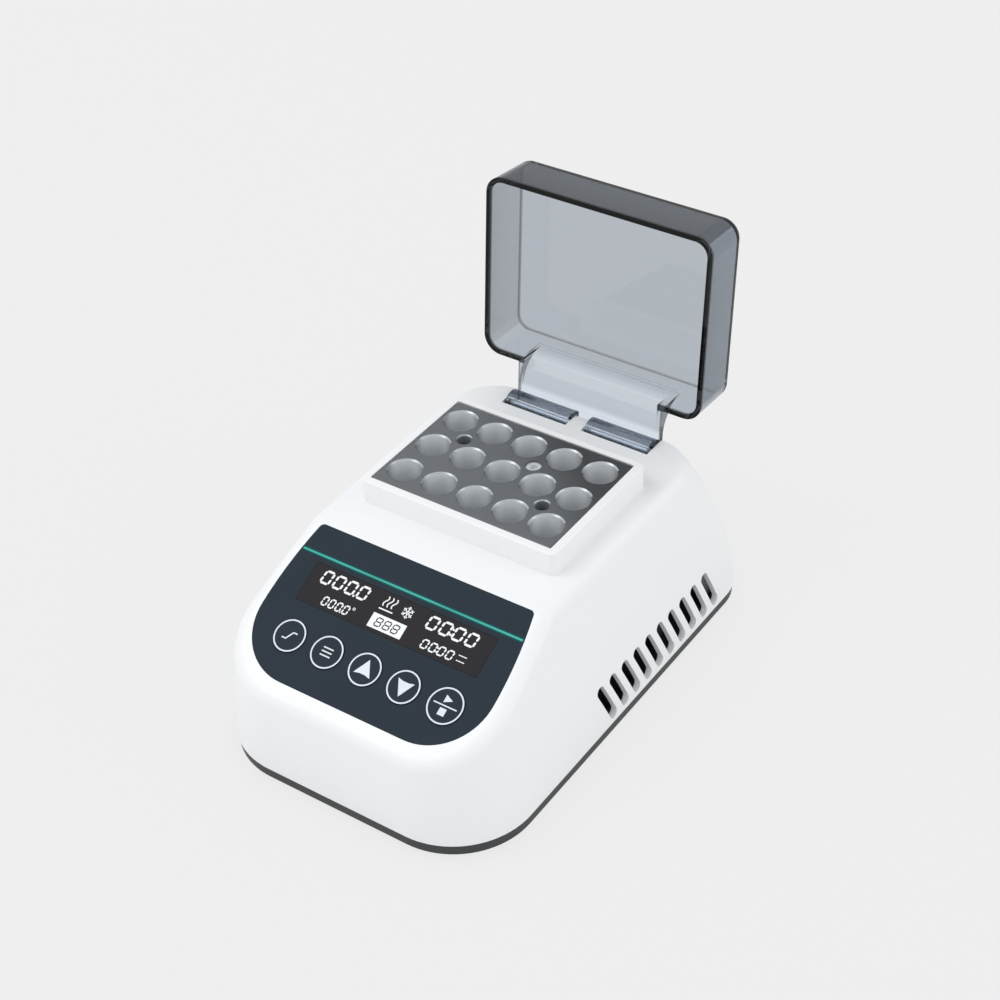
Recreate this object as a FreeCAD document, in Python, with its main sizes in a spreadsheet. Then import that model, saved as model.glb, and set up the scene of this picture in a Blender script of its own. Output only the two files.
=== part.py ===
import FreeCAD, Part
import math
import os
import re

import Sketcher
from FreeCAD import Placement, Rotation, Vector

# A compact bench dry bath incubator. Millimetres, +Z up, +Y to the rear.
# The origin lies on the bench, on the centre plane, midway between the
# front of the housing and the rearmost point of the raised lid.

doc = FreeCAD.newDocument("dry_bath")

# Driving sizes
SIZES = {
    # housing, as three sections that the walls run through
    "base_half_width": 54.5,
    "base_front": 86.8,
    "base_rear": 79.8,
    "base_front_radius": 27.6,
    "waist_half_width": 51.9,
    "waist_front": 85.3,
    "waist_rear": 73.6,
    "waist_height": 34.5,
    "waist_front_radius": 26.0,
    "deck_half_width": 45.4,
    "deck_front": 77.0,
    "deck_rear": 61.2,
    "deck_height": 62.9,
    "deck_front_radius": 22.0,
    "rear_radius": 18.0,
    "wall": 2.2,
    "shoulder_radius": 4.0,
    "slope_edge_radius": 5.0,
    "brow_radius": 6.0,
    # feet and the strip of tray that shows under the housing
    "foot_drop": 2.0,
    "foot_radius": 6.0,
    "foot_seat": 0.8,
    "foot_edge_radius": 0.6,
    "foot_side_inset": 19.5,
    "foot_front_inset": 26.8,
    "foot_rear_inset": 17.8,
    "strip_height": 4.0,
    "strip_inset": 0.5,
    "tray_floor": 2.0,
    "tongue_height": 2.0,
    "tongue_gap": 0.6,
    "tongue_wall": 1.4,
    "grille_radius": 26.0,
    "grille_slot": 3.0,
    "grille_pitch": 5.5,
    # control panel on the slope
    "panel_top_front": 32.9,
    "panel_top_height": 62.5,
    "panel_slope": 26.7,
    "panel_length": 52.1,
    "panel_half_top": 40.5,
    "panel_corner_radius": 20.5,
    "panel_bottom_half": 23.65,
    "panel_top_radius": 1.8,
    "panel_wall": 3.2,
    "overlay_thickness": 0.8,
    "window_half_x": 34.5,
    "window_top": 12.2,
    "window_height": 13.7,
    "window_gap": 0.1,
    "window_ledge": 1.2,
    "key_first_x": -29.0,
    "key_pitch": 14.65,
    "key_last_extra": 0.8,
    "key_down": 37.6,
    "key_radius": 5.65,
    "last_key_radius": 6.15,
    "key_gap": 0.15,
    "key_proud": 0.3,
    "key_edge_radius": 0.25,
    "key_travel": 0.4,
    "key_flange_extra": 0.9,
    "key_flange_thickness": 0.9,
    # electronics behind the panel
    "board_thickness": 1.6,
    "panel_board_half_x": 37.0,
    "panel_board_top": 5.0,
    "panel_board_length": 42.0,
    "panel_board_drop": 5.0,
    "switch_side": 6.0,
    "switch_case_height": 2.4,
    "switch_stem_radius": 1.7,
    "display_thickness": 4.2,
    "display_margin": 2.6,
    "post_radius": 2.6,
    "post_hole_depth": 4.0,
    "panel_post_top_x": 34.0,
    "panel_post_top_down": 7.6,
    "panel_post_low_x": 22.2,
    "panel_post_low_down": 44.6,
    "main_board_half_x": 34.0,
    "main_board_front": 70.0,
    "main_board_length": 43.0,
    "main_board_lift": 4.0,
    "board_edge": 4.0,
    # block, its collar and what is under it
    "block_y": 9.8,
    "collar_half_x": 37.4,
    "collar_half_y": 27.0,
    "collar_corner": 2.5,
    "collar_rim_radius": 0.6,
    "block_top": 71.5,
    "block_half_x": 34.2,
    "block_half_y": 24.1,
    "block_gap": 0.3,
    "block_height": 32.0,
    "well_radius": 5.5,
    "well_pitch_x": 13.6,
    "well_pitch_y": 15.55,
    "well_depth": 28.0,
    "well_cone": 9.0,
    "well_tip_radius": 2.0,
    "well_rim": 0.5,
    "lift_hole_radius": 2.4,
    "lift_hole_depth": 12.0,
    "block_edge": 0.4,
    "block_screw_sink": 0.8,
    "block_screw_bite": 3.0,
    "plate_half_x": 36.0,
    "plate_half_y": 26.0,
    "plate_thickness": 4.0,
    "peltier_side": 40.0,
    "peltier_thickness": 3.6,
    "ceramic_thickness": 0.8,
    "peltier_core_inset": 1.0,
    "sensor_radius": 1.5,
    "sensor_length": 14.0,
    "sensor_x": 12.0,
    "frame_half_x": 41.0,
    "frame_half_y": 31.0,
    "frame_gap": 0.3,
    "sink_half_x": 47.5,
    "sink_half_y": 31.5,
    "sink_screw_x": 44.2,
    "sink_screw_y": 20.0,
    "sink_post_radius": 3.2,
    "fin_half_x": 40.0,
    "sink_base": 4.0,
    "fin_height": 11.7,
    "fin_thickness": 1.2,
    "fin_pitch": 4.4,
    "sink_screw_bite": 8.0,
    "fan_side": 60.0,
    "fan_height": 10.0,
    "fan_bore_radius": 28.6,
    "fan_blade_gap": 0.9,
    "fan_hub_radius": 13.0,
    "fan_screw_pitch": 50.0,
    "fan_corner": 3.0,
    "fan_screw_bite": 3.0,
    "fan_base_thickness": 1.5,
    "fan_strut_width": 3.0,
    "blade_count": 7,
    "blade_pitch": 42.0,
    "blade_chord": 9.5,
    "blade_thickness": 1.1,
    "rotor_end_gap": 0.6,
    "rotor_wall": 1.4,
    "bearing_radius": 3.2,
    "shaft_radius": 1.5,
    "shaft_clearance": 0.05,
    # fasteners
    "screw_radius": 1.5,
    "screw_clearance": 0.1,
    "head_radius": 2.65,
    "head_height": 2.4,
    "head_clearance": 0.35,
    "small_screw_radius": 1.0,
    "small_head_radius": 1.9,
    "small_head_height": 1.3,
    "small_screw_length": 4.8,
    "socket_share": 0.55,
    # lid and hinge
    "lid_half_width": 42.6,
    "lid_length": 65.6,
    "lid_depth": 19.6,
    "lid_corner": 6.5,
    "lid_draft": 0.3,
    "lid_wall": 1.8,
    "lid_edge_radius": 2.5,
    "lid_rim_gap": 0.6,
    "lid_open_angle": 95.8,
    "hinge_y": 56.2,
    "hinge_drop": 3.1,
    "hinge_to_lid": 14.5,
    "tab_half_width": 28.3,
    "tab_bend": 9.9,
    "tab_thickness": 1.8,
    "tab_rib": 1.8,
    "barrel_radius": 4.8,
    "pin_radius": 1.0,
    "pin_clearance": 0.05,
    "pin_seat": 3.5,
    "recess_half_width": 28.9,
    "recess_gap": 0.4,
    "recess_floor": 8.5,
    "cheek_width": 5.0,
    "lug_half_width": 3.0,
    "lug_gap": 0.5,
    "stop_gap": 0.15,
    # side vents
    "vent_count": 10,
    "vent_first_y": -14.1,
    "vent_pitch": 7.17,
    "vent_height": 16.3,
    "vent_length": 18.3,
    "vent_width": 3.9,
    "vent_lean": 24.0,
    # rear connection bay
    "bay_half_x": 31.0,
    "bay_low": 14.0,
    "bay_high": 36.0,
    "bay_y": 70.0,
    "bay_corner": 2.0,
    "fit_gap": 0.1,
    "switch_x": -15.0,
    "rocker_half_x": 4.6,
    "rocker_radius": 7.6,
    "rocker_tilt": 8.0,
    "rocker_gap": 0.35,
    "rocker_crease": 1.4,
    "rocker_rise": 3.4,
    "rocker_back": 1.2,
    "trunnion_radius": 1.0,
    "trunnion_length": 0.9,
    "bezel_half_x": 7.5,
    "bezel_half_z": 10.5,
    "bezel_thickness": 1.6,
    "switch_body_depth": 14.0,
    "jack_x": 15.0,
    "jack_radius": 5.0,
    "jack_bore_radius": 2.8,
    "jack_pin_radius": 1.0,
    "jack_depth": 9.5,
    "jack_flange_radius": 6.4,
    "jack_flange_thickness": 1.2,
    "jack_body_side": 11.0,
    "jack_body_length": 11.0,
    # screw bosses between housing and tray
    "boss_side_inset": 9.0,
    "boss_front_inset": 54.8,
    "boss_rear_inset": 18.8,
    "boss_radius": 3.6,
    "boss_length": 20.0,
    "boss_web": 1.8,
    "tray_post_radius": 4.6,
    "base_screw_bite": 10.0,
}

sheet = doc.addObject("Spreadsheet::Sheet", "sizes")
for row, (alias, number) in enumerate(SIZES.items(), start=1):
    sheet.set(f"A{row}", alias)
    sheet.set(f"B{row}", str(number))
    sheet.setAlias(f"B{row}", alias)

# Worked-out sizes, each bound to the sheet
derived = doc.addObject("App::VarSet", "derived")
worked_out = []


def formula(text):
    """Turn the plain names in a formula into references that the document knows."""
    def refer(match):
        word = match.group()
        if word in SIZES:
            return "sizes." + word
        if word in worked_out:
            return "derived." + word
        return word
    return re.sub(r"[a-z][a-z_]*", refer, str(text))


def work_out(name, text):
    derived.addProperty("App::PropertyFloat", name, "Worked out")
    derived.setExpression(name, formula(text))
    worked_out.append(name)


work_out("tray_bottom", "foot_drop")
work_out("housing_foot", "foot_drop + strip_height")
work_out("floor_top", "foot_drop + tray_floor")
work_out("deck_underside", "deck_height - wall")
work_out("block_bottom", "block_top - block_height")
work_out("plate_bottom", "block_bottom - plate_thickness")
work_out("peltier_bottom", "plate_bottom - peltier_thickness")
work_out("sink_base_bottom", "peltier_bottom - sink_base")
work_out("fin_bottom", "sink_base_bottom - fin_height")
work_out("fan_bottom", "fin_bottom - fan_height")
work_out("hinge_z", "deck_height - hinge_drop")
work_out("lid_rim_z", "deck_height + lid_rim_gap")
work_out("lid_back_y", "hinge_y - hinge_to_lid")
work_out("board_top_depth", "panel_wall + panel_board_drop")
work_out("board_back_depth", "board_top_depth + board_thickness")
work_out("key_flange_depth", "panel_wall + key_gap + key_flange_thickness")
work_out("tray_inside", "wall + tongue_gap + tongue_wall")
work_out("main_board_bottom", "floor_top + main_board_lift")
work_out("fan_rotor_low", "fan_bottom + fan_base_thickness + rotor_end_gap")
work_out("tab_height", "tab_bend + tab_thickness")
work_out("recess_front", "hinge_y - barrel_radius - recess_gap")
work_out("recess_floor_z", "deck_height - recess_floor")
work_out("tab_top_rise", "lid_rim_z + tab_thickness - hinge_z")
work_out(
    "heel_length",
    "(hinge_z - recess_floor_z - stop_gap + tab_top_rise * cos(lid_open_angle)) / sin(lid_open_angle)",
)
work_out("rocker_y", "bay_y + bezel_thickness / 2")
work_out("rocker_z", "(bay_low + bay_high) / 2")
doc.recompute()


def value(name):
    """Read one size, driving or worked out, as a number."""
    if name in SIZES:
        return float(sheet.get(name))
    return float(getattr(derived, name))


def bind(item, **formulas):
    """Bind properties to formulas; two underscores stand for a dot."""
    for path, text in formulas.items():
        item.setExpression(path.replace("__", "."), formula(text))


def place(item, where, turn=None):
    """Bind the position of an item; turn is an axis and an angle formula."""
    if turn:
        axis, angle = turn
        item.Placement = Placement(Vector(), Rotation(axis, 1.0))
        bind(item, Placement__Rotation__Angle=angle)
    bind(item, Placement__Base__x=where[0], Placement__Base__y=where[1], Placement__Base__z=where[2])


def box(name, lengths, corner, turn=None):
    item = doc.addObject("Part::Box", name)
    bind(item, Length=lengths[0], Width=lengths[1], Height=lengths[2])
    place(item, corner, turn)
    return item


def centred_box(name, half_x, half_y, centre_y, low, height):
    return box(
        name,
        (f"2 * ({half_x})", f"2 * ({half_y})", height),
        (f"-({half_x})", f"({centre_y}) - ({half_y})", low),
    )


def cylinder(name, radius, height, foot, turn=None):
    item = doc.addObject("Part::Cylinder", name)
    bind(item, Radius=radius, Height=height)
    place(item, foot, turn)
    return item


def cone(name, low_radius, high_radius, height, foot):
    item = doc.addObject("Part::Cone", name)
    bind(item, Radius1=low_radius, Radius2=high_radius, Height=height)
    place(item, foot)
    return item


def fuse(name, items, merge_faces=True):
    if len(items) == 1:
        return items[0]
    joined = doc.addObject("Part::MultiFuse", name)
    joined.Shapes = items
    joined.Refine = merge_faces
    return joined


def cut(name, base, tools):
    result = doc.addObject("Part::Cut", name)
    result.Base = base
    result.Tool = fuse(name + "_tools", tools)
    result.Refine = True
    return result


def group(name, items):
    gathered = doc.addObject("Part::Compound", name)
    gathered.Links = items
    return gathered


def round_edges(name, item, radius, choose):
    """Fillet the edges of an item that a test on the edge accepts."""
    doc.recompute()
    rounded = doc.addObject("Part::Fillet", name)
    rounded.Base = item
    chosen = [i for i, edge in enumerate(item.Shape.Edges, start=1) if choose(edge)]
    rounded.Edges = [(i, radius, radius) for i in chosen]
    return rounded


def runs_along(edge, axis):
    if edge.Curve.TypeId != "Part::GeomLine":
        return False
    direction = edge.tangentAt(edge.FirstParameter)
    return abs(direction.dot(axis)) > 0.999


def middle(edge):
    return edge.valueAt((edge.FirstParameter + edge.LastParameter) / 2)


X_AXIS = Vector(1, 0, 0)
Y_AXIS = Vector(0, 1, 0)
Z_AXIS = Vector(0, 0, 1)


def rounded_section(name, half_width, front, rear, front_radius, rear_radius, height):
    """A level outline: straight sides, a wide front corner and a smaller rear one."""
    sketch = doc.addObject("Sketcher::SketchObject", name)
    w, f, r, a, b = 50.0, -70.0, 70.0, 20.0, 15.0
    quarter = math.pi / 2
    corner = (
        (Vector(w - a, f + a, 0), a, 3 * quarter, 4 * quarter),
        (Vector(w - b, r - b, 0), b, 0, quarter),
        (Vector(b - w, r - b, 0), b, quarter, 2 * quarter),
        (Vector(a - w, f + a, 0), a, 2 * quarter, 3 * quarter),
    )
    ends = (
        (Vector(a - w, f, 0), Vector(w - a, f, 0)),
        (Vector(w, f + a, 0), Vector(w, r - b, 0)),
        (Vector(w - b, r, 0), Vector(b - w, r, 0)),
        (Vector(-w, r - b, 0), Vector(-w, f + a, 0)),
    )
    for (start, end), (centre, radius, first, last) in zip(ends, corner):
        sketch.addGeometry(Part.LineSegment(start, end))
        circle = Part.Circle(centre, Z_AXIS, radius)
        sketch.addGeometry(Part.ArcOfCircle(circle, first, last))
    for i in range(8):
        sketch.addConstraint(Sketcher.Constraint("Tangent", i, 2, (i + 1) % 8, 1))
    for i, kind in ((0, "Horizontal"), (4, "Horizontal"), (2, "Vertical"), (6, "Vertical")):
        sketch.addConstraint(Sketcher.Constraint(kind, i))
    dimensions = (
        ("right", half_width, ("DistanceX", -1, 1, 2, 1, w)),
        ("left", half_width, ("DistanceX", 6, 1, -1, 1, w)),
        ("front", front, ("DistanceY", 0, 1, -1, 1, -f)),
        ("rear", rear, ("DistanceY", -1, 1, 4, 1, r)),
        ("corner_one", front_radius, ("Radius", 1, a)),
        ("corner_two", rear_radius, ("Radius", 3, b)),
        ("corner_three", rear_radius, ("Radius", 5, b)),
        ("corner_four", front_radius, ("Radius", 7, a)),
    )
    for label, text, parts in dimensions:
        index = sketch.addConstraint(Sketcher.Constraint(*parts))
        sketch.renameConstraint(index, label)
        sketch.setExpression("Constraints." + label, formula(text))
    place(sketch, (0, 0, height))
    return sketch


def loft(name, sections):
    body = doc.addObject("Part::Loft", name)
    body.Sections = sections
    body.Solid = True
    body.Ruled = False
    return body


def pad(name, sketch, length):
    body = doc.addObject("Part::Extrusion", name)
    body.Base = sketch
    body.DirMode = "Normal"
    body.Solid = True
    bind(body, LengthFwd=length)
    return body


def housing_sections(name, inset, foot, top):
    """The three sections of the housing wall, moved inwards by an inset."""
    levels = (
        ("base", foot),
        ("waist", "waist_height"),
        ("deck", top),
    )
    return [
        rounded_section(
            f"{name}_{level}",
            f"{level}_half_width - ({inset})",
            f"{level}_front - ({inset})",
            f"{level}_rear - ({inset})",
            f"{level}_front_radius - ({inset})",
            f"rear_radius - ({inset})",
            height,
        )
        for level, height in levels
    ]


def above_slope(name, depth):
    """Everything over the control slope, moved inwards by a depth."""
    return box(
        name,
        ("3 * base_half_width", "2 * base_front", "base_front"),
        (
            "-1.5 * base_half_width",
            f"-panel_top_front - base_front * cos(panel_slope) + ({depth}) * sin(panel_slope)",
            f"panel_top_height - base_front * sin(panel_slope) - ({depth}) * cos(panel_slope)",
        ),
        (X_AXIS, "panel_slope"),
    )


def common(name, items):
    shared = doc.addObject("Part::MultiCommon", name)
    shared.Shapes = items
    shared.Refine = True
    return shared


def rod(name, radius, length, start_x, y, z):
    """A round bar that runs from side to side."""
    return cylinder(name, radius, length, (start_x, y, z), (Y_AXIS, "90"))


def rear_rod(name, radius, length, x, start_y, z):
    """A round bar that runs from the rear towards the front."""
    return cylinder(name, radius, length, (x, start_y, z), (X_AXIS, "90"))


def swing(item, y, z, angle):
    """Turn a finished item about a side-to-side line through y and z."""
    place(
        item,
        (
            "0",
            f"({y}) - ({y}) * cos({angle}) + ({z}) * sin({angle})",
            f"({z}) - ({y}) * sin({angle}) - ({z}) * cos({angle})",
        ),
        (X_AXIS, angle),
    )


def on_panel(x, down, depth):
    """A point given across, down and into the sloping control panel."""
    return (
        x,
        f"-panel_top_front - ({down}) * cos(panel_slope) + ({depth}) * sin(panel_slope)",
        f"panel_top_height - ({down}) * sin(panel_slope) - ({depth}) * cos(panel_slope)",
    )


def panel_cylinder(name, radius, height, x, down, depth):
    """A cylinder that stands out of the panel from a given depth."""
    return cylinder(name, radius, height, on_panel(x, down, depth), (X_AXIS, "panel_slope"))


def panel_box(name, half_x, x, top, length, depth, thickness):
    """A box parallel to the panel; its top face is thickness above the depth."""
    return box(
        name,
        (f"2 * ({half_x})", length, thickness),
        on_panel(f"({x}) - ({half_x})", f"({top}) + ({length})", depth),
        (X_AXIS, "panel_slope"),
    )


def screw(name, seat, turn, kind, length):
    """A cap screw: the shank runs down from its seat and the head stands on it."""
    radius, head_radius, head_height = {
        "large": ("screw_radius", "head_radius", "head_height"),
        "small": ("small_screw_radius", "small_head_radius", "small_head_height"),
    }[kind]
    shank = cylinder(name + "_shank", radius, f"({length}) + {head_height} / 2", ("0", "0", f"-({length})"))
    head = cylinder(name + "_head", head_radius, head_height, ("0", "0", "0"))
    socket = doc.addObject("Part::Prism", name + "_socket")
    socket.Polygon = 6
    bind(socket, Circumradius=f"socket_share * {head_radius}", Height=head_height)
    place(socket, ("0", "0", f"(1 - socket_share) * {head_height}"))
    body = cut(name, fuse(name + "_body", [shank, head]), [socket])
    place(body, seat, turn)
    return body


def four(half_x, centre_y, half_y):
    """The four corners of a rectangle, as formulas."""
    return [
        (f"{side} * ({half_x})", f"({centre_y}) + {end} * ({half_y})")
        for side in (-1, 1)
        for end in (-1, 1)
    ]


def inside_base(kind):
    """Four places set in from the sides, the front and the rear of the housing's foot."""
    front = f"({kind}_front_inset - base_front)"
    rear = f"(base_rear - {kind}_rear_inset)"
    return four(
        f"base_half_width - {kind}_side_inset", f"({rear} + {front}) / 2", f"({rear} - {front}) / 2"
    )


BOARD_POSTS = four(
    "main_board_half_x - board_edge",
    "main_board_length / 2 - main_board_front",
    "main_board_length / 2 - board_edge",
)
SINK_POSTS = four("sink_screw_x", "block_y", "sink_screw_y")
FAN_POSTS = four("fan_screw_pitch / 2", "block_y", "fan_screw_pitch / 2")
BOSSES = inside_base("boss")
FEET = inside_base("foot")
PANEL_POSTS = [
    (f"{side} * {x}", down)
    for side in (-1, 1)
    for x, down in (
        ("panel_post_top_x", "panel_post_top_down"),
        ("panel_post_low_x", "panel_post_low_down"),
    )
]
KEYS = [
    (name, f"key_first_x + {i} * key_pitch", "key_radius")
    for i, name in enumerate(("program_key", "menu_key", "up_key", "down_key"))
]
KEYS.append(("start_stop_key", "key_first_x + 4 * key_pitch + key_last_extra", "last_key_radius"))

nodes = {}


def node(name, item):
    item.Label = name
    nodes[name] = item
    return item


# Upper housing: a lofted skin with its edges rounded, hollowed by a second loft
form = cut(
    "housing_form",
    loft("housing_loft", housing_sections("outer", "0", "housing_foot", "deck_height")),
    [above_slope("slope_cut", "0")],
)
doc.recompute()
SLOPE_NORMAL = Rotation(X_AXIS, value("panel_slope")).multVec(Z_AXIS)
SLOPE_POINT = Vector(0, -value("panel_top_front"), value("panel_top_height"))


def on_slope(edge):
    return abs((middle(edge) - SLOPE_POINT).dot(SLOPE_NORMAL)) < 0.01


def on_deck(edge):
    return abs(middle(edge).z - value("deck_height")) < 0.01


skin = doc.addObject("Part::Fillet", "housing_skin")
skin.Base = form
edge_radii = []
for i, edge in enumerate(form.Shape.Edges, start=1):
    if on_slope(edge) and on_deck(edge):
        edge_radii.append((i, value("brow_radius"), value("brow_radius")))
    elif on_slope(edge):
        edge_radii.append((i, value("slope_edge_radius"), value("slope_edge_radius")))
    elif on_deck(edge):
        edge_radii.append((i, value("shoulder_radius"), value("shoulder_radius")))
skin.Edges = edge_radii
hollow = cut(
    "housing_hollow",
    loft("hollow_loft", housing_sections("hollow", "wall", "housing_foot - 1", "deck_underside")),
    [above_slope("hollow_slope", "panel_wall")],
)
shell = cut("housing_shell", skin, [hollow])


collar = centred_box(
    "collar_box",
    "collar_half_x",
    "collar_half_y",
    "block_y",
    "deck_underside",
    "block_top - deck_underside",
)
collar = round_edges("collar", collar, value("collar_corner"), lambda edge: runs_along(edge, Z_AXIS))
collar = round_edges(
    "collar_rim",
    collar,
    value("collar_rim_radius"),
    lambda edge: middle(edge).z > value("block_top") - 0.01,
)
block_shaft = centred_box(
    "block_shaft",
    "block_half_x + block_gap",
    "block_half_y + block_gap",
    "block_y",
    "deck_underside - 1",
    "block_top - deck_underside + 2",
)

# Hinge recess, open to the rear, with a cheek at each side for the pin
cheeks = box(
    "hinge_cheeks",
    (
        "2 * (recess_half_width + cheek_width)",
        "deck_rear - recess_front + wall + rear_radius",
        "recess_floor + wall",
    ),
    (
        "-(recess_half_width + cheek_width)",
        "recess_front - wall",
        "recess_floor_z - wall",
    ),
)
recess = box(
    "hinge_recess",
    ("2 * recess_half_width", "deck_rear - recess_front + rear_radius", "2 * recess_floor"),
    ("-recess_half_width", "recess_front", "recess_floor_z"),
)
pin_bore = rod(
    "pin_bore",
    "pin_radius + pin_clearance",
    "2 * (recess_half_width + pin_seat)",
    "-(recess_half_width + pin_seat)",
    "hinge_y",
    "hinge_z",
)
lug = fuse(
    "hinge_lug",
    [
        rod("lug_eye", "hinge_drop", "2 * lug_half_width", "-lug_half_width", "hinge_y", "hinge_z"),
        box(
            "lug_arm",
            ("2 * lug_half_width", "hinge_y - recess_front + wall / 2", "recess_floor + wall / 2"),
            ("-lug_half_width", "recess_front - wall / 2", "recess_floor_z - wall / 2"),
        ),
    ],
)

# Connection bay at the rear
bay_floor = box(
    "bay_floor",
    ("2 * (bay_half_x + wall)", "base_rear - bay_y + wall", "bay_high - bay_low + 2 * wall"),
    ("-(bay_half_x + wall)", "bay_y - wall", "bay_low - wall"),
)
bay = box(
    "bay_pocket",
    ("2 * bay_half_x", "base_rear - bay_y + wall", "bay_high - bay_low"),
    ("-bay_half_x", "bay_y", "bay_low"),
)
bay = round_edges("bay", bay, value("bay_corner"), lambda edge: runs_along(edge, Y_AXIS))
jack_hole = rear_rod("jack_hole", "jack_radius + fit_gap", "3 * wall", "jack_x", "bay_y + wall", "rocker_z")
switch_hole = box(
    "switch_hole",
    (
        "2 * (rocker_half_x + rocker_gap + bezel_thickness)",
        "3 * wall",
        "2 * (rocker_radius + bezel_thickness)",
    ),
    (
        "switch_x - rocker_half_x - rocker_gap - bezel_thickness",
        "bay_y - 2 * wall",
        "rocker_z - rocker_radius - bezel_thickness",
    ),
)

# Screw bosses that reach down to the tray, each tied to the wall by a web
boss_parts = []
boss_holes = []
for i, (x, y) in enumerate(BOSSES):
    side = -1 if x.startswith("-") else 1
    boss_parts.append(cylinder(f"boss_{i}", "boss_radius", "boss_length", (x, y, "housing_foot")))
    boss_parts.append(
        box(
            f"boss_web_{i}",
            ("boss_side_inset", "boss_web", "boss_length - 2 * tongue_height"),
            (
                x if side > 0 else "-base_half_width",
                f"{y} - boss_web / 2",
                "housing_foot + 2 * tongue_height",
            ),
        )
    )
    boss_holes.append(
        cylinder(
            f"boss_hole_{i}",
            "screw_radius + screw_clearance",
            "base_screw_bite + 1",
            (x, y, "housing_foot"),
        )
    )

# Posts behind the panel that carry its circuit board
post_parts = []
post_holes = []
for i, (x, down) in enumerate(PANEL_POSTS):
    post_parts.append(
        panel_cylinder(f"panel_post_{i}", "post_radius", "board_top_depth - 1", x, down, "board_top_depth")
    )
    post_holes.append(
        panel_cylinder(
            f"panel_post_hole_{i}",
            "small_screw_radius + screw_clearance",
            "post_hole_depth",
            x,
            down,
            "board_top_depth",
        )
    )


def panel_outline(name, gap):
    """The outline of the overlay: bowed sides that run into wide lower corners."""
    sketch = doc.addObject("Sketcher::SketchObject", name)
    top, low = value("panel_half_top"), value("panel_bottom_half")
    radius, length = value("panel_corner_radius"), value("panel_length")
    level = radius - length
    bow = ((top - low - radius) ** 2 + level**2) / (2 * (low + radius - top))
    spread = math.asin(-level / bow)
    quarter = math.pi / 2
    sketch.addGeometry(Part.LineSegment(Vector(-low, -length, 0), Vector(low, -length, 0)))
    for centre, size, first, last in (
        (Vector(low, level, 0), radius, -quarter, 0),
        (Vector(low + radius - bow, level, 0), bow, 0, spread),
    ):
        sketch.addGeometry(Part.ArcOfCircle(Part.Circle(centre, Z_AXIS, size), first, last))
    sketch.addGeometry(Part.LineSegment(Vector(top, 0, 0), Vector(-top, 0, 0)))
    for centre, size, first, last in (
        (Vector(bow - low - radius, level, 0), bow, 2 * quarter - spread, 2 * quarter),
        (Vector(-low, level, 0), radius, 2 * quarter, 3 * quarter),
    ):
        sketch.addGeometry(Part.ArcOfCircle(Part.Circle(centre, Z_AXIS, size), first, last))
    for first, second in ((0, 1), (1, 2), (4, 5), (5, 0)):
        sketch.addConstraint(Sketcher.Constraint("Tangent", first, 2, second, 1))
    for first, second in ((2, 3), (3, 4)):
        sketch.addConstraint(Sketcher.Constraint("Coincident", first, 2, second, 1))
    sketch.addConstraint(Sketcher.Constraint("Horizontal", 0))
    sketch.addConstraint(Sketcher.Constraint("Horizontal", 3))
    sketch.addConstraint(Sketcher.Constraint("Horizontal", 1, 3, 2, 3))
    sketch.addConstraint(Sketcher.Constraint("Horizontal", 5, 3, 4, 3))
    dimensions = (
        ("right_corner", f"panel_corner_radius + {gap}", ("Radius", 1, radius)),
        ("left_corner", f"panel_corner_radius + {gap}", ("Radius", 5, radius)),
        ("top_level", gap, ("DistanceY", -1, 1, 3, 1, 0.5)),
        ("bottom_level", f"panel_length + {gap}", ("DistanceY", 0, 1, -1, 1, length)),
        ("top_right", f"panel_half_top + {gap}", ("DistanceX", -1, 1, 3, 1, top)),
        ("top_left", f"panel_half_top + {gap}", ("DistanceX", 3, 2, -1, 1, top)),
        ("bottom_right", "panel_bottom_half", ("DistanceX", -1, 1, 0, 2, low)),
        ("bottom_left", "panel_bottom_half", ("DistanceX", 0, 1, -1, 1, low)),
    )
    for label, text, parts in dimensions:
        index = sketch.addConstraint(Sketcher.Constraint(*parts))
        sketch.renameConstraint(index, label)
        sketch.setExpression("Constraints." + label, formula(text))
    place(sketch, on_panel("0", "0", "overlay_thickness"), (X_AXIS, "panel_slope"))
    return sketch


def panel_plate(name, gap, thickness):
    """A plate of the overlay's outline with its two upper corners rounded."""
    plate = pad(name + "_plate", panel_outline(name + "_outline", gap), thickness)
    return round_edges(
        name,
        plate,
        value("panel_top_radius"),
        lambda edge: runs_along(edge, SLOPE_NORMAL) and middle(edge).z > value("panel_top_height") - 2,
    )


def window_box(name, margin, depth, thickness):
    return panel_box(
        name,
        f"window_half_x + ({margin})",
        "0",
        f"window_top - ({margin})",
        f"window_height + 2 * ({margin})",
        depth,
        thickness,
    )


overlay_recess = panel_plate("overlay_recess", "window_gap", "slope_edge_radius")
window_hole = window_box("window_hole", "-window_ledge", "board_top_depth", "board_top_depth")
key_holes = [
    panel_cylinder(
        f"{name}_hole", f"{radius} + key_gap", "board_top_depth - 1", x, "key_down", "panel_wall + 1"
    )
    for name, x, radius in KEYS
]


def vent(name, y):
    """One leaning slot with round ends, cut through both side walls at once."""
    bar = "vent_length / 2 - vent_width / 2"
    reach = "3 * base_half_width"
    slot = box(
        name + "_middle",
        (reach, "vent_width", f"2 * ({bar})"),
        (f"-({reach}) / 2", "-vent_width / 2", f"-({bar})"),
    )
    ends = [
        rod(f"{name}_end_{i}", "vent_width / 2", reach, f"-({reach}) / 2", "0", f"{end} * ({bar})")
        for i, end in enumerate((-1, 1))
    ]
    slot = fuse(name, [slot] + ends)
    place(slot, ("0", y, "vent_height"), (X_AXIS, "vent_lean"))
    return slot


vents = [
    vent(f"vent_{i}", f"vent_first_y + {i} * vent_pitch")
    for i in range(int(value("vent_count")))
]

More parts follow.
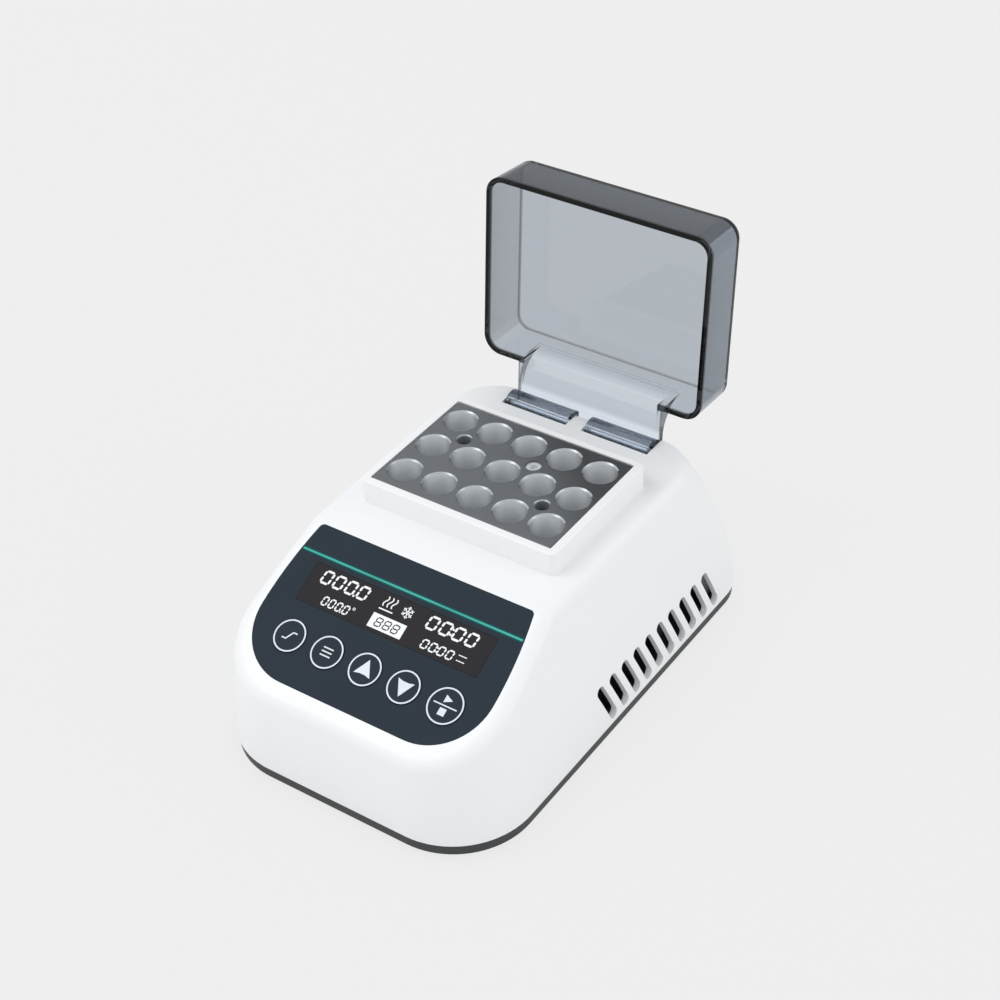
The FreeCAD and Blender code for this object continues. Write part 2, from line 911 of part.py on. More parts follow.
solid_housing = fuse(
    "housing_with_bosses",
    [
        shell,
        collar,
        common("recess_walls", [skin, cheeks]),
        common("bay_walls", [skin, bay_floor]),
        common("inner_bosses", [skin, fuse("bosses", boss_parts)]),
        fuse("panel_posts", post_parts),
    ],
)
opened_housing = cut(
    "housing_opened",
    solid_housing,
    [block_shaft, recess, bay, jack_hole, switch_hole, overlay_recess, window_hole]
    + key_holes
    + vents
    + boss_holes
    + post_holes,
)
node(
    "upper_housing",
    cut("upper_housing", fuse("housing_with_lug", [opened_housing, lug]), [pin_bore]),
)

# Base tray: floor, rim under the housing wall, tongue inside it and posts


def tray_section(name, inset, height):
    return rounded_section(
        name,
        f"base_half_width - ({inset})",
        f"base_front - ({inset})",
        f"base_rear - ({inset})",
        f"base_front_radius - ({inset})",
        f"rear_radius - ({inset})",
        height,
    )


tray_parts = [
    pad("tray_rim", tray_section("tray_rim_outline", "strip_inset", "tray_bottom"), "strip_height"),
    pad(
        "tray_tongue",
        tray_section("tray_tongue_outline", "wall + tongue_gap", "tray_bottom"),
        "strip_height + tongue_height",
    ),
]
tray_hollow = pad(
    "tray_hollow", tray_section("tray_hollow_outline", "tray_inside", "floor_top"), "3 * strip_height"
)
tray_base = cut("tray_base", fuse("tray_walls", tray_parts), [tray_hollow])
posts = []
holes = []
for i, (x, y) in enumerate(BOSSES):
    posts.append(
        cylinder(f"tray_post_{i}", "tray_post_radius", "strip_height", (x, y, "tray_bottom"))
    )
    holes.append(
        cylinder(
            f"base_screw_hole_{i}",
            "screw_radius + screw_clearance",
            "2 * strip_height",
            (x, y, "tray_bottom - 1"),
        )
    )
    holes.append(
        cylinder(
            f"base_screw_sink_{i}",
            "head_radius + head_clearance",
            "head_height + 1",
            (x, y, "tray_bottom - 1"),
        )
    )
for i, (x, y) in enumerate(BOARD_POSTS):
    posts.append(
        cylinder(f"board_post_{i}", "post_radius", "main_board_bottom - tray_bottom", (x, y, "tray_bottom"))
    )
    holes.append(
        cylinder(
            f"board_post_hole_{i}",
            "small_screw_radius + screw_clearance",
            "post_hole_depth",
            (x, y, "main_board_bottom - post_hole_depth"),
        )
    )
for i, (x, y) in enumerate(SINK_POSTS):
    posts.append(
        cylinder(
            f"sink_post_{i}",
            "sink_post_radius",
            "sink_base_bottom - tray_bottom",
            (x, y, "tray_bottom"),
        )
    )
    holes.append(
        cylinder(
            f"sink_post_hole_{i}",
            "screw_radius + screw_clearance",
            "sink_screw_bite + 1",
            (x, y, "sink_base_bottom - sink_screw_bite - 1"),
        )
    )
for i, (x, y) in enumerate(FAN_POSTS):
    posts.append(cylinder(f"fan_post_{i}", "fan_corner", "fan_bottom - tray_bottom", (x, y, "tray_bottom")))
    holes.append(
        cylinder(
            f"fan_post_hole_{i}",
            "screw_radius + screw_clearance",
            "fan_screw_bite",
            (x, y, "fan_bottom - fan_screw_bite"),
        )
    )
for i, (x, y) in enumerate(FEET):
    holes.append(
        cylinder(
            f"foot_recess_{i}",
            "foot_radius + fit_gap",
            "foot_seat + 1",
            (x, y, "tray_bottom - 1"),
        )
    )
slot_count = 2 * int(value("grille_radius") / value("grille_pitch")) + 1
grille_bars = [
    box(
        f"grille_slot_{i}",
        ("2 * grille_radius", "grille_slot", "2 * tray_floor"),
        (
            "-grille_radius",
            f"block_y + {i - slot_count // 2} * grille_pitch - grille_slot / 2",
            "tray_bottom - tray_floor / 2",
        ),
    )
    for i in range(slot_count)
]
grille_field = cylinder(
    "grille_field", "grille_radius", "2 * tray_floor", ("0", "block_y", "tray_bottom - tray_floor / 2")
)
grille = common("grille", [grille_field, fuse("grille_slots", grille_bars)])
node("base_tray", cut("base_tray", fuse("tray_with_posts", [tray_base] + posts), holes + [grille]))

# Feet, each in its own recess
FOOT_NAMES = ("left_front_foot", "left_rear_foot", "right_front_foot", "right_rear_foot")
for label, (x, y) in zip(FOOT_NAMES, FEET):
    pad_body = cylinder(label + "_pad", "foot_radius", "foot_drop + foot_seat", (x, y, "0"))
    doc.recompute()
    node(label, round_edges(label, pad_body, value("foot_edge_radius"), lambda e: middle(e).z < 0.01))

# Lid, drawn closed over the block and swung open about the hinge pin


def lid_shell(name, inset, low, edge_radius):
    """The lid's tapering box, moved inwards by an inset."""
    def section(label, draft, height):
        return rounded_section(
            f"{name}_{label}",
            f"lid_half_width - ({inset}) - ({draft})",
            f"lid_length - lid_back_y - ({inset}) - ({draft})",
            f"lid_back_y - ({inset}) - ({draft})",
            f"lid_corner - ({inset})",
            f"lid_corner - ({inset})",
            height,
        )
    top = f"lid_rim_z + lid_depth - ({inset})"
    body = loft(name + "_loft", [section("rim", "0", low), section("top", "lid_draft", top)])
    doc.recompute()
    level = body.Shape.BoundBox.ZMax
    return round_edges(name, body, edge_radius, lambda edge: abs(middle(edge).z - level) < 0.01)


lid_outer = lid_shell("lid_outer", "0", "lid_rim_z", value("lid_edge_radius"))
lid_inner = lid_shell(
    "lid_inner", "lid_wall", "lid_rim_z - 1", value("lid_edge_radius") - value("lid_wall")
)
# The tab leaves the rear wall in a quarter bend and runs level to the barrel;
# a rib at each side fills the corner between the bend and the lid's rim
bend_axis = ("lid_back_y + tab_bend", "lid_rim_z + tab_height")


def tab_box(name, width, start_x):
    """The square that the bend turns in, from the lid's wall to where the tab is level."""
    return box(
        name,
        (width, "lid_wall + tab_bend", "tab_height"),
        (start_x, "lid_back_y - lid_wall", "lid_rim_z"),
    )


bend_hollow = rod("bend_hollow", "tab_bend", "2 * lid_half_width", "-lid_half_width", *bend_axis)
bend_outside = rod("bend_outside", "tab_height", "2 * tab_half_width", "-tab_half_width", *bend_axis)
bend = common(
    "tab_bend_body", [tab_box("bend_square", "2 * tab_half_width", "-tab_half_width"), bend_outside]
)
ribs = [
    tab_box("left_rib", "tab_rib", "-tab_half_width"),
    tab_box("right_rib", "tab_rib", "tab_half_width - tab_rib"),
]
tab_root = cut("tab_root", fuse("bend_with_ribs", [bend] + ribs), [bend_hollow])
flange = box(
    "tab_flange",
    ("2 * tab_half_width", "hinge_to_lid - tab_bend + heel_length", "tab_thickness"),
    ("-tab_half_width", "lid_back_y + tab_bend", "lid_rim_z"),
)
barrel = rod("barrel_rod", "barrel_radius", "2 * tab_half_width", "-tab_half_width", "hinge_y", "hinge_z")
lug_slot = box(
    "lug_slot",
    ("2 * (lug_half_width + lug_gap)", "3 * barrel_radius", "3 * barrel_radius"),
    (
        "-(lug_half_width + lug_gap)",
        "hinge_y - 1.5 * barrel_radius",
        "lid_rim_z - 3 * barrel_radius",
    ),
)
lid_notch = box(
    "lid_notch",
    ("2 * tab_half_width - tab_rib", "3 * lid_wall", "tab_height + 1"),
    ("tab_rib / 2 - tab_half_width", "lid_back_y - 2 * lid_wall", "lid_rim_z - 1"),
)
lid_bore = rod(
    "lid_bore",
    "pin_radius + pin_clearance",
    "2 * recess_half_width",
    "-recess_half_width",
    "hinge_y",
    "hinge_z",
)
lid_walls = cut("lid_walls", lid_outer, [lid_inner, lid_notch])
split_barrel = cut("lid_barrel", barrel, [lug_slot])
lid = cut("lid", fuse("lid_with_tab", [lid_walls, tab_root, flange, split_barrel]), [lid_bore])
swing(lid, "hinge_y", "hinge_z", "-lid_open_angle")
node("lid", lid)
node(
    "hinge_pin",
    rod(
        "hinge_pin",
        "pin_radius",
        "2 * (recess_half_width + pin_seat - pin_clearance)",
        "-(recess_half_width + pin_seat - pin_clearance)",
        "hinge_y",
        "hinge_z",
    ),
)

# Tube block: fifteen tapered wells, two holes for the lifting tool, one screw
block = centred_box("block_body", "block_half_x", "block_half_y", "block_y", "block_bottom", "block_height")
block_edges = doc.addObject("Part::Chamfer", "block_edges")
block_edges.Base = block
doc.recompute()
block_edges.Edges = [
    (i, value("block_edge"), value("block_edge"))
    for i, edge in enumerate(block.Shape.Edges, start=1)
    if middle(edge).z > value("block_bottom") + 0.01
]
wells = []
for column in range(-2, 3):
    for line in range(-1, 2):
        tag = f"well_{column + 3}_{line + 2}"
        x = f"{column} * well_pitch_x"
        y = f"block_y + {line} * well_pitch_y"
        wells.append(
            cylinder(
                tag,
                "well_radius",
                "well_depth - well_cone + 1",
                (x, y, "block_top - well_depth + well_cone"),
            )
        )
        wells.append(
            cone(
                tag + "_cone",
                "well_tip_radius",
                "well_radius",
                "well_cone",
                (x, y, "block_top - well_depth"),
            )
        )
        wells.append(
            cone(
                tag + "_rim",
                "well_radius",
                "well_radius + well_rim",
                "well_rim",
                (x, y, "block_top - well_rim"),
            )
        )
LIFT_HOLES = [
    (f"{side} * 3 / 2 * well_pitch_x", f"block_y - {side} * well_pitch_y / 2")
    for side in (-1, 1)
]
lift_holes = [
    cylinder(
        f"lift_hole_{i}",
        "lift_hole_radius",
        "lift_hole_depth + 1",
        (x, y, "block_top - lift_hole_depth"),
    )
    for i, (x, y) in enumerate(LIFT_HOLES)
]
lift_rims = [
    cone(
        f"lift_rim_{i}",
        "lift_hole_radius",
        "lift_hole_radius + well_rim",
        "well_rim",
        (x, y, "block_top - well_rim"),
    )
    for i, (x, y) in enumerate(LIFT_HOLES)
]
BLOCK_SCREW = ("well_pitch_x / 2", "block_y + well_pitch_y / 2")
SCREW_SEAT = "block_top - block_screw_sink - head_height"
screw_passage = cylinder(
    "block_screw_passage",
    "screw_radius + screw_clearance",
    "2 * block_height",
    (*BLOCK_SCREW, "block_bottom - block_height"),
)
screw_sink = cylinder(
    "block_screw_recess", "head_radius + screw_clearance", "block_height", (*BLOCK_SCREW, SCREW_SEAT)
)
node(
    "tube_block",
    cut("tube_block", block_edges, wells + lift_holes + lift_rims + [screw_passage, screw_sink]),
)
node(
    "block_screw",
    screw(
        "block_screw",
        (*BLOCK_SCREW, SCREW_SEAT),
        (Z_AXIS, "0"),
        "large",
        f"{SCREW_SEAT} - block_bottom + block_screw_bite",
    ),
)

# Heat plate with its sensor, the thermoelectric module and the insulation
plate = centred_box(
    "heat_plate_body", "plate_half_x", "plate_half_y", "block_y", "plate_bottom", "plate_thickness"
)
plate_screw_hole = cylinder(
    "plate_screw_hole",
    "screw_radius + screw_clearance",
    "block_screw_bite + screw_clearance + 1",
    (*BLOCK_SCREW, "block_bottom - block_screw_bite - screw_clearance"),
)
SENSOR_SEAT = ("sensor_x", "block_y + plate_half_y", "plate_bottom + plate_thickness / 2")
sensor_bore = rear_rod(
    "sensor_bore",
    "sensor_radius + screw_clearance",
    "sensor_length + 1",
    "sensor_x",
    "block_y + plate_half_y + 1",
    "plate_bottom + plate_thickness / 2",
)
node("heat_plate", cut("heat_plate", plate, [plate_screw_hole, sensor_bore]))
node("temperature_sensor", rear_rod("temperature_sensor", "sensor_radius", "sensor_length", *SENSOR_SEAT))
node(
    "peltier_module",
    fuse(
        "peltier_module",
        [
            centred_box(
                f"peltier_{part}",
                f"peltier_side / 2 - {inset}",
                f"peltier_side / 2 - {inset}",
                "block_y",
                low,
                height,
            )
            for part, inset, low, height in (
                ("lower_plate", "0", "peltier_bottom", "ceramic_thickness"),
                ("core", "peltier_core_inset", "peltier_bottom", "peltier_thickness"),
                ("upper_plate", "0", "plate_bottom - ceramic_thickness", "ceramic_thickness"),
            )
        ],
    ),
)


def frame_pocket(name, half_x, half_y, low, high):
    return centred_box(
        name, f"{half_x} + frame_gap", f"{half_y} + frame_gap", "block_y", low, f"({high}) - ({low})"
    )


node(
    "insulation_frame",
    cut(
        "insulation_frame",
        centred_box(
            "insulation_body",
            "frame_half_x",
            "frame_half_y",
            "block_y",
            "peltier_bottom",
            "deck_underside - frame_gap - peltier_bottom",
        ),
        [
            frame_pocket(
                "peltier_pocket",
                "peltier_side / 2",
                "peltier_side / 2",
                "peltier_bottom - 1",
                "block_top",
            ),
            frame_pocket("plate_pocket", "plate_half_x", "plate_half_y", "plate_bottom", "block_bottom"),
            frame_pocket("block_pocket", "block_half_x", "block_half_y", "block_bottom - 1", "block_top"),
        ],
    ),
)

# Heat sink, its fins crossways so that the air leaves through the side vents
fin_count = 2 * int((value("sink_half_y") - value("fin_thickness") / 2) / value("fin_pitch")) + 1
fins = [
    box(
        f"fin_{i}",
        ("2 * fin_half_x", "fin_thickness", "fin_height + sink_base / 2"),
        (
            "-fin_half_x",
            f"block_y + {i - fin_count // 2} * fin_pitch - fin_thickness / 2",
            "fin_bottom",
        ),
    )
    for i in range(fin_count)
]
sink_plate = centred_box(
    "sink_plate", "sink_half_x", "sink_half_y", "block_y", "sink_base_bottom", "sink_base"
)
sink_holes = [
    cylinder(
        f"sink_hole_{i}",
        "screw_radius + screw_clearance",
        "2 * sink_base",
        (x, y, "sink_base_bottom - sink_base / 2"),
    )
    for i, (x, y) in enumerate(SINK_POSTS)
]
node("heat_sink", cut("heat_sink", fuse("finned_plate", [sink_plate] + fins), sink_holes))
node(
    "sink_screws",
    group(
        "sink_screws",
        [
            screw(
                f"sink_screw_{i}",
                (x, y, "peltier_bottom"),
                (Z_AXIS, "0"),
                "large",
                "sink_base + sink_screw_bite",
            )
            for i, (x, y) in enumerate(SINK_POSTS)
        ],
    ),
)

# Fan: a frame with a spider and bearing tube, and a rotor that turns in it
fan_block = centred_box("fan_block", "fan_side / 2", "fan_side / 2", "block_y", "fan_bottom", "fan_height")
fan_block = round_edges("fan_body", fan_block, value("fan_corner"), lambda edge: runs_along(edge, Z_AXIS))
fan_bore = cylinder(
    "fan_bore", "fan_bore_radius", "fan_height + 2", ("0", "block_y", "fan_bottom - 1")
)
struts = []
for i in range(3):
    strut = box(
        f"fan_strut_{i}",
        ("fan_bore_radius + 1", "fan_strut_width", "fan_base_thickness"),
        (
            f"fan_strut_width / 2 * sin({i} * 120)",
            f"block_y - fan_strut_width / 2 * cos({i} * 120)",
            "fan_bottom",
        ),
        (Z_AXIS, f"{i} * 120"),
    )
    struts.append(strut)
fan_spider = struts + [
    cylinder("fan_base_disc", "fan_hub_radius", "fan_base_thickness", ("0", "block_y", "fan_bottom")),
    cylinder(
        "fan_bearing",
        "bearing_radius",
        "fan_height - rotor_wall - 2 * rotor_end_gap",
        ("0", "block_y", "fan_bottom"),
    ),
]
shaft_bore = cylinder(
    "shaft_bore",
    "shaft_radius + shaft_clearance",
    "fan_height",
    ("0", "block_y", "fan_bottom + fan_base_thickness / 2"),
)
fan_holes = [
    cylinder(
        f"fan_hole_{i}", "screw_radius + screw_clearance", "fan_height + 2", (x, y, "fan_bottom - 1")
    )
    for i, (x, y) in enumerate(FAN_POSTS)
] + [
    cylinder(
        f"fan_hole_sink_{i}",
        "head_radius + screw_clearance",
        "head_height + fit_gap + 1",
        (x, y, "fin_bottom - head_height - fit_gap"),
    )
    for i, (x, y) in enumerate(FAN_POSTS)
]
fan_ring = cut("fan_ring", fan_block, [fan_bore])
fan_solid = fuse("fan_with_spider", [fan_ring] + fan_spider)
node("fan_frame", cut("fan_frame", fan_solid, fan_holes + [shaft_bore]))
node(
    "fan_screws",
    group(
        "fan_screws",
        [
            screw(
                f"fan_screw_{i}",
                (x, y, "fin_bottom - head_height - fit_gap"),
                (Z_AXIS, "0"),
                "large",
                "fan_height - head_height + fan_screw_bite - 2 * fit_gap",
            )
            for i, (x, y) in enumerate(FAN_POSTS)
        ],
    ),
)
rotor_height = "fin_bottom - rotor_end_gap - fan_rotor_low"
blade = common(
    "fan_blade",
    [
        cut(
            "blade_ring",
            cylinder(
                "blade_reach",
                "fan_bore_radius - fan_blade_gap",
                rotor_height,
                ("0", "0", "fan_rotor_low"),
            ),
            [
                cylinder(
                    "blade_root",
                    "fan_hub_radius - rotor_wall / 2",
                    "2 * fan_height",
                    ("0", "0", "fan_bottom"),
                )
            ],
        ),
        box(
            "blade_plate",
            ("fan_bore_radius", "blade_chord", "blade_thickness"),
            (
                "0",
                "-blade_chord / 2 * cos(blade_pitch)",
                f"fan_rotor_low + ({rotor_height}) / 2 - blade_chord / 2 * sin(blade_pitch)",
            ),
            (X_AXIS, "blade_pitch"),
        ),
    ],
)
blades = []
blade_count = int(value("blade_count"))
for i in range(blade_count):
    turned = group(f"blade_{i}", [blade])
    place(turned, ("0", "block_y", "0"), (Z_AXIS, f"{i} * 360 / {blade_count}"))
    blades.append(turned)
hub = cut(
    "fan_hub",
    cylinder("fan_hub_body", "fan_hub_radius", rotor_height, ("0", "block_y", "fan_rotor_low")),
    [
        cylinder(
            "fan_hub_hollow",
            "fan_hub_radius - rotor_wall",
            f"{rotor_height} - rotor_wall + 1",
            ("0", "block_y", "fan_rotor_low - 1"),
        )
    ],
)
shaft = cylinder(
    "fan_shaft",
    "shaft_radius",
    "fan_height - fan_base_thickness - rotor_end_gap - rotor_wall / 2",
    ("0", "block_y", "fan_bottom + fan_base_thickness / 2 + fit_gap"),
)
node("fan_rotor", fuse("fan_rotor", blades + [hub, shaft], merge_faces=False))

# Main circuit board with the parts that stand on it
main_board = box(
    "main_board_plate",
    ("2 * main_board_half_x", "main_board_length", "board_thickness"),
    ("-main_board_half_x", "-main_board_front", "main_board_bottom"),
)
board_top = "main_board_bottom + board_thickness"
board_parts = [
    box(
        f"board_{label}",
        (length, width, f"{height} + fit_gap"),
        (x, f"{y} - main_board_front", f"{board_top} - fit_gap"),
    )
    for label, (length, width, height), (x, y) in (
        ("driver", (14, 10, 4), ("8 - main_board_half_x", "9")),
        ("processor", (10, 10, 1.6), ("5", "14")),
        ("inductor", (12, 12, 7), ("-7", "27")),
        ("fan_socket", (8, 5, 6), ("main_board_half_x - 16", "main_board_length - 8")),
        ("power_socket", (12, 8, 9), ("6 - main_board_half_x", "main_board_length - 11")),
    )
] + [
    cylinder(
        f"board_{label}",
        radius,
        f"{height} + fit_gap",
        (x, f"{y} - main_board_front", f"{board_top} - fit_gap"),
    )
    for label, (radius, height), (x, y) in (
        ("input_capacitor", (4, 10), ("-6", "14")),
        ("output_capacitor", (4, 10), ("22", "14")),
    )
]
board_holes = [
    cylinder(
        f"board_hole_{i}",
        "small_screw_radius + screw_clearance",
        "3 * board_thickness",
        (x, y, "main_board_bottom - board_thickness"),
    )
    for i, (x, y) in enumerate(BOARD_POSTS)
]
node("main_board", cut("main_board", fuse("main_board_body", [main_board] + board_parts), board_holes))
node(
    "board_screws",
    group(
        "board_screws",
        [
            screw(f"board_screw_{i}", (x, y, board_top), (Z_AXIS, "0"), "small", "small_screw_length")
            for i, (x, y) in enumerate(BOARD_POSTS)
        ],
    ),
)

# Panel circuit board with the display and the five switches
panel_board_plate = panel_box(
    "panel_board_plate",
    "panel_board_half_x",
    "0",
    "panel_board_top",
    "panel_board_length",
    "board_back_depth",
    "board_thickness",
)
panel_board_holes = [
    panel_cylinder(
        f"panel_board_hole_{i}",
        "small_screw_radius + screw_clearance",
        "3 * board_thickness",
        x,
        down,
        "board_back_depth + board_thickness",
    )
    for i, (x, down) in enumerate(PANEL_POSTS)
]
node("panel_board", cut("panel_board", panel_board_plate, panel_board_holes))
node(
    "panel_board_screws",
    group(
        "panel_board_screws",
        [
            screw(
                f"panel_board_screw_{i}",
                on_panel(x, down, "board_back_depth"),
                (X_AXIS, "panel_slope + 180"),
                "small",
                "small_screw_length",
            )
            for i, (x, down) in enumerate(PANEL_POSTS)
        ],
    ),
)
node(
    "display_module",
    window_box("display_module", "-display_margin", "board_top_depth", "display_thickness"),
)
switches = []
for name, x, radius in KEYS:
    case = panel_box(
        name + "_switch_case",
        "switch_side / 2",
        x,
        "key_down - switch_side / 2",
        "switch_side",
        "board_top_depth",
        "switch_case_height",
    )
    plunger = panel_cylinder(
        name + "_switch_plunger",
        "switch_stem_radius",
        "board_top_depth - key_flange_depth - key_travel - fit_gap",
        x,
        "key_down",
        "board_top_depth",
    )
    switches.append(fuse(name + "_switch", [case, plunger]))
node("key_switches", group("key_switches", switches))

# Overlay, window and the five keys
overlay = panel_plate("overlay", "0", "overlay_thickness - fit_gap / 2")
overlay_holes = [
    panel_cylinder(
        f"{name}_overlay_hole",
        f"{radius} + key_gap",
        "3 * overlay_thickness",
        x,
        "key_down",
        "2 * overlay_thickness",
    )
    for name, x, radius in KEYS
] + [window_box("overlay_window_hole", "window_gap", "2 * overlay_thickness", "3 * overlay_thickness")]
node("panel_overlay", cut("panel_overlay", overlay, overlay_holes))
node(
    "display_window",
    window_box("display_window", "0", "overlay_thickness", "overlay_thickness - fit_gap / 2"),
)
for name, x, radius in KEYS:
    cap = panel_cylinder(
        name + "_cap", radius, "key_flange_depth + key_proud", x, "key_down", "key_flange_depth"
    )
    cap = round_edges(
        name + "_rounded",
        cap,
        value("key_edge_radius"),
        lambda edge: (middle(edge) - SLOPE_POINT).dot(SLOPE_NORMAL) > 0,
    )
    flange = panel_cylinder(
        name + "_flange",
        f"{radius} + key_flange_extra",
        "key_flange_thickness",
        x,
        "key_down",
        "key_flange_depth",
    )
    node(name, fuse(name, [cap, flange]))

# Power jack in the rear bay
jack_solid = fuse(
    "jack_solid",
    [
        rear_rod(
            "jack_barrel",
            "jack_radius",
            "2 * wall",
            "jack_x",
            "bay_y + jack_flange_thickness",
            "rocker_z",
        ),
        rear_rod(
            "jack_flange",
            "jack_flange_radius",
            "jack_flange_thickness",
            "jack_x",
            "bay_y + jack_flange_thickness",
            "rocker_z",
        ),
        box(
            "jack_body",
            ("jack_body_side", "jack_body_length", "jack_body_side"),
            (
                "jack_x - jack_body_side / 2",
                "bay_y - wall - jack_body_length",
                "rocker_z - jack_body_side / 2",
            ),
        ),
    ],
)
jack_mouth = cut(
    "jack_mouth",
    rear_rod(
        "jack_bore",
        "jack_bore_radius",
        "jack_depth + 1",
        "jack_x",
        "bay_y + jack_flange_thickness + 1",
        "rocker_z",
    ),
    [
        rear_rod(
            "jack_pin",
            "jack_pin_radius",
            "jack_depth + 1",
            "jack_x",
            "bay_y + jack_flange_thickness - 1",
            "rocker_z",
        )
    ],
)
node("power_jack", cut("power_jack", jack_solid, [jack_mouth]))

# Power switch: a body with a bezel, and a rocker on two trunnions
opening_half_x = "rocker_half_x + rocker_gap"
switch_solid = fuse(
    "switch_solid",
    [
        box(
            "switch_bezel",
            ("2 * bezel_half_x", "bezel_thickness", "2 * bezel_half_z"),
            ("switch_x - bezel_half_x", "bay_y", "rocker_z - bezel_half_z"),
        ),
        box(
            "switch_case",
            (
                f"2 * ({opening_half_x} + bezel_thickness - fit_gap)",
                "switch_body_depth + fit_gap",
                "2 * (rocker_radius + bezel_thickness - fit_gap)",
            ),
            (
                f"switch_x - ({opening_half_x} + bezel_thickness - fit_gap)",
                "bay_y - switch_body_depth",
                "rocker_z - (rocker_radius + bezel_thickness - fit_gap)",
            ),
        ),
    ],
)
switch_well = rod(
    "switch_well",
    "rocker_radius + rocker_gap",
    f"2 * ({opening_half_x})",
    f"switch_x - ({opening_half_x})",
    "rocker_y",
    "rocker_z",
)
trunnion_holes = rod(
    "trunnion_holes",
    "trunnion_radius + pin_clearance",
    "2 * (rocker_half_x + trunnion_length + fit_gap)",
    "switch_x - (rocker_half_x + trunnion_length + fit_gap)",
    "rocker_y",
    "rocker_z",
)
node("power_switch_body", cut("power_switch_body", switch_solid, [switch_well, trunnion_holes]))
rocker_form = common(
    "rocker_form",
    [
        rod(
            "rocker_round",
            "rocker_radius",
            "2 * rocker_half_x",
            "switch_x - rocker_half_x",
            "rocker_y",
            "rocker_z",
        ),
        box(
            "rocker_slab",
            ("2 * rocker_half_x", "rocker_back + rocker_rise", "2 * rocker_radius"),
            ("switch_x - rocker_half_x", "rocker_y - rocker_back", "rocker_z - rocker_radius"),
        ),
    ],
)
rocker_faces = [
    box(
        f"rocker_face_{label}",
        ("3 * rocker_half_x", "2 * rocker_radius", "2 * rocker_radius"),
        ("switch_x - 1.5 * rocker_half_x", y, z),
        (X_AXIS, angle),
    )
    for label, y, z, angle in (
        ("upper", "rocker_y + rocker_crease", "rocker_z", "-rocker_tilt"),
        (
            "lower",
            "rocker_y + rocker_crease + 2 * rocker_radius * sin(rocker_tilt)",
            "rocker_z - 2 * rocker_radius * cos(rocker_tilt)",
            "rocker_tilt",
        ),
    )
]
trunnions = rod(
    "trunnions",
    "trunnion_radius",
    "2 * (rocker_half_x + trunnion_length)",
    "switch_x - (rocker_half_x + trunnion_length)",
    "rocker_y",
    "rocker_z",
)
rocker = fuse("power_rocker", [cut("rocker_paddle", rocker_form, rocker_faces), trunnions])
swing(rocker, "rocker_y", "rocker_z", "rocker_tilt")
node("power_rocker", rocker)

# Screws that hold the tray to the housing
node(
    "base_screws",
    group(
        "base_screws",
        [
            screw(
                f"base_screw_{i}",
                (x, y, "tray_bottom + head_height"),
                (X_AXIS, "180"),
                "large",
                "strip_height - head_height + base_screw_bite",
            )
            for i, (x, y) in enumerate(BOSSES)
        ],
    ),
)

# Check every object, then write one file for each node
doc.recompute()
failed = [item.Name for item in doc.Objects if {"Invalid", "Error"} & set(item.State)]
if failed:
    raise RuntimeError("failed objects: " + ", ".join(failed))
for name, item in nodes.items():
    if item.Shape.isNull() or not item.Shape.isValid():
        raise RuntimeError("bad shape: " + name)
os.makedirs("parts", exist_ok=True)
for name, item in nodes.items():
    item.Shape.exportStep(f"parts/{name}.step")
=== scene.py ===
"""A compact dry bath incubator with its lid open, on a pale studio floor. Metres, Z up."""

import math

import bmesh
import bpy
from mathutils import Matrix, Vector


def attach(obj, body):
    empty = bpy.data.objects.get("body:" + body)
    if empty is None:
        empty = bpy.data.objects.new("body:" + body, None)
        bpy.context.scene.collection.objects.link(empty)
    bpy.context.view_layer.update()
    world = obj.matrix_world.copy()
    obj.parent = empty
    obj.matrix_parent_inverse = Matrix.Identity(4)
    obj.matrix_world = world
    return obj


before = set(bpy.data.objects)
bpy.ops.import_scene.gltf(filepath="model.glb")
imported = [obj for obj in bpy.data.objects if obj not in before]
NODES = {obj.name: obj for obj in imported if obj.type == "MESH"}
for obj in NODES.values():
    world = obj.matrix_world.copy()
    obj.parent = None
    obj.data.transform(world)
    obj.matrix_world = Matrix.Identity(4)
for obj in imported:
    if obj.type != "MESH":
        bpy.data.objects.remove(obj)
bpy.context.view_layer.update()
MM = 0.001

# Camera: where it stands, where it looks and how far it is rolled
CAMERA_PLACE_MM = (310.1, -414.1, 472.0)
CAMERA_ELEVATION = math.radians(38.12)
CAMERA_AZIMUTH = math.radians(36.32)
CAMERA_ROLL = math.radians(-3.09)
CAMERA_LENS_MM = 74.43
CAMERA_SENSOR_MM = 36.0

# Colours, as seen on screen from 0 to 255
BACKGROUND = (239, 239, 239)
HOUSING_WHITE = (243, 244, 245)
TRAY_GREY = (48, 51, 52)
PANEL_SLATE = (41, 51, 60)
WINDOW_DARK = (32, 29, 32)
LINE_TEAL = (70, 172, 158)
# The colour of the teal line's painted glow
TEAL_GLOW_BAND = (20, 74, 78)
PRINT_WHITE = (226, 231, 238)
GLYPH_WHITE = (246, 248, 250)

# Control panel: its slope, and the middle of its upper edge
PANEL_SLOPE = math.radians(26.7)
PANEL_TOP_MM = (0.0, -32.9, 62.5)

# Tube block: the wells' pitch, radius and rim, and the block's middle
WELL_PITCH_MM = (13.6, 15.55)
WELL_RADIUS_MM = 5.5
WELL_RIM_MM = 0.35
WELL_FLOOR_MM = 40.0
LIFT_RADIUS_MM = 2.4
BLOCK_MIDDLE_Y_MM = 9.8
BLOCK_TOP_MM = 71.5
# The level direction from the front of the photograph's view to its rear
# The wells' painted rim highlight and the bores' painted shade are laid out along this direction
FAR_SIDE = (-0.59, 0.81, 0.0)

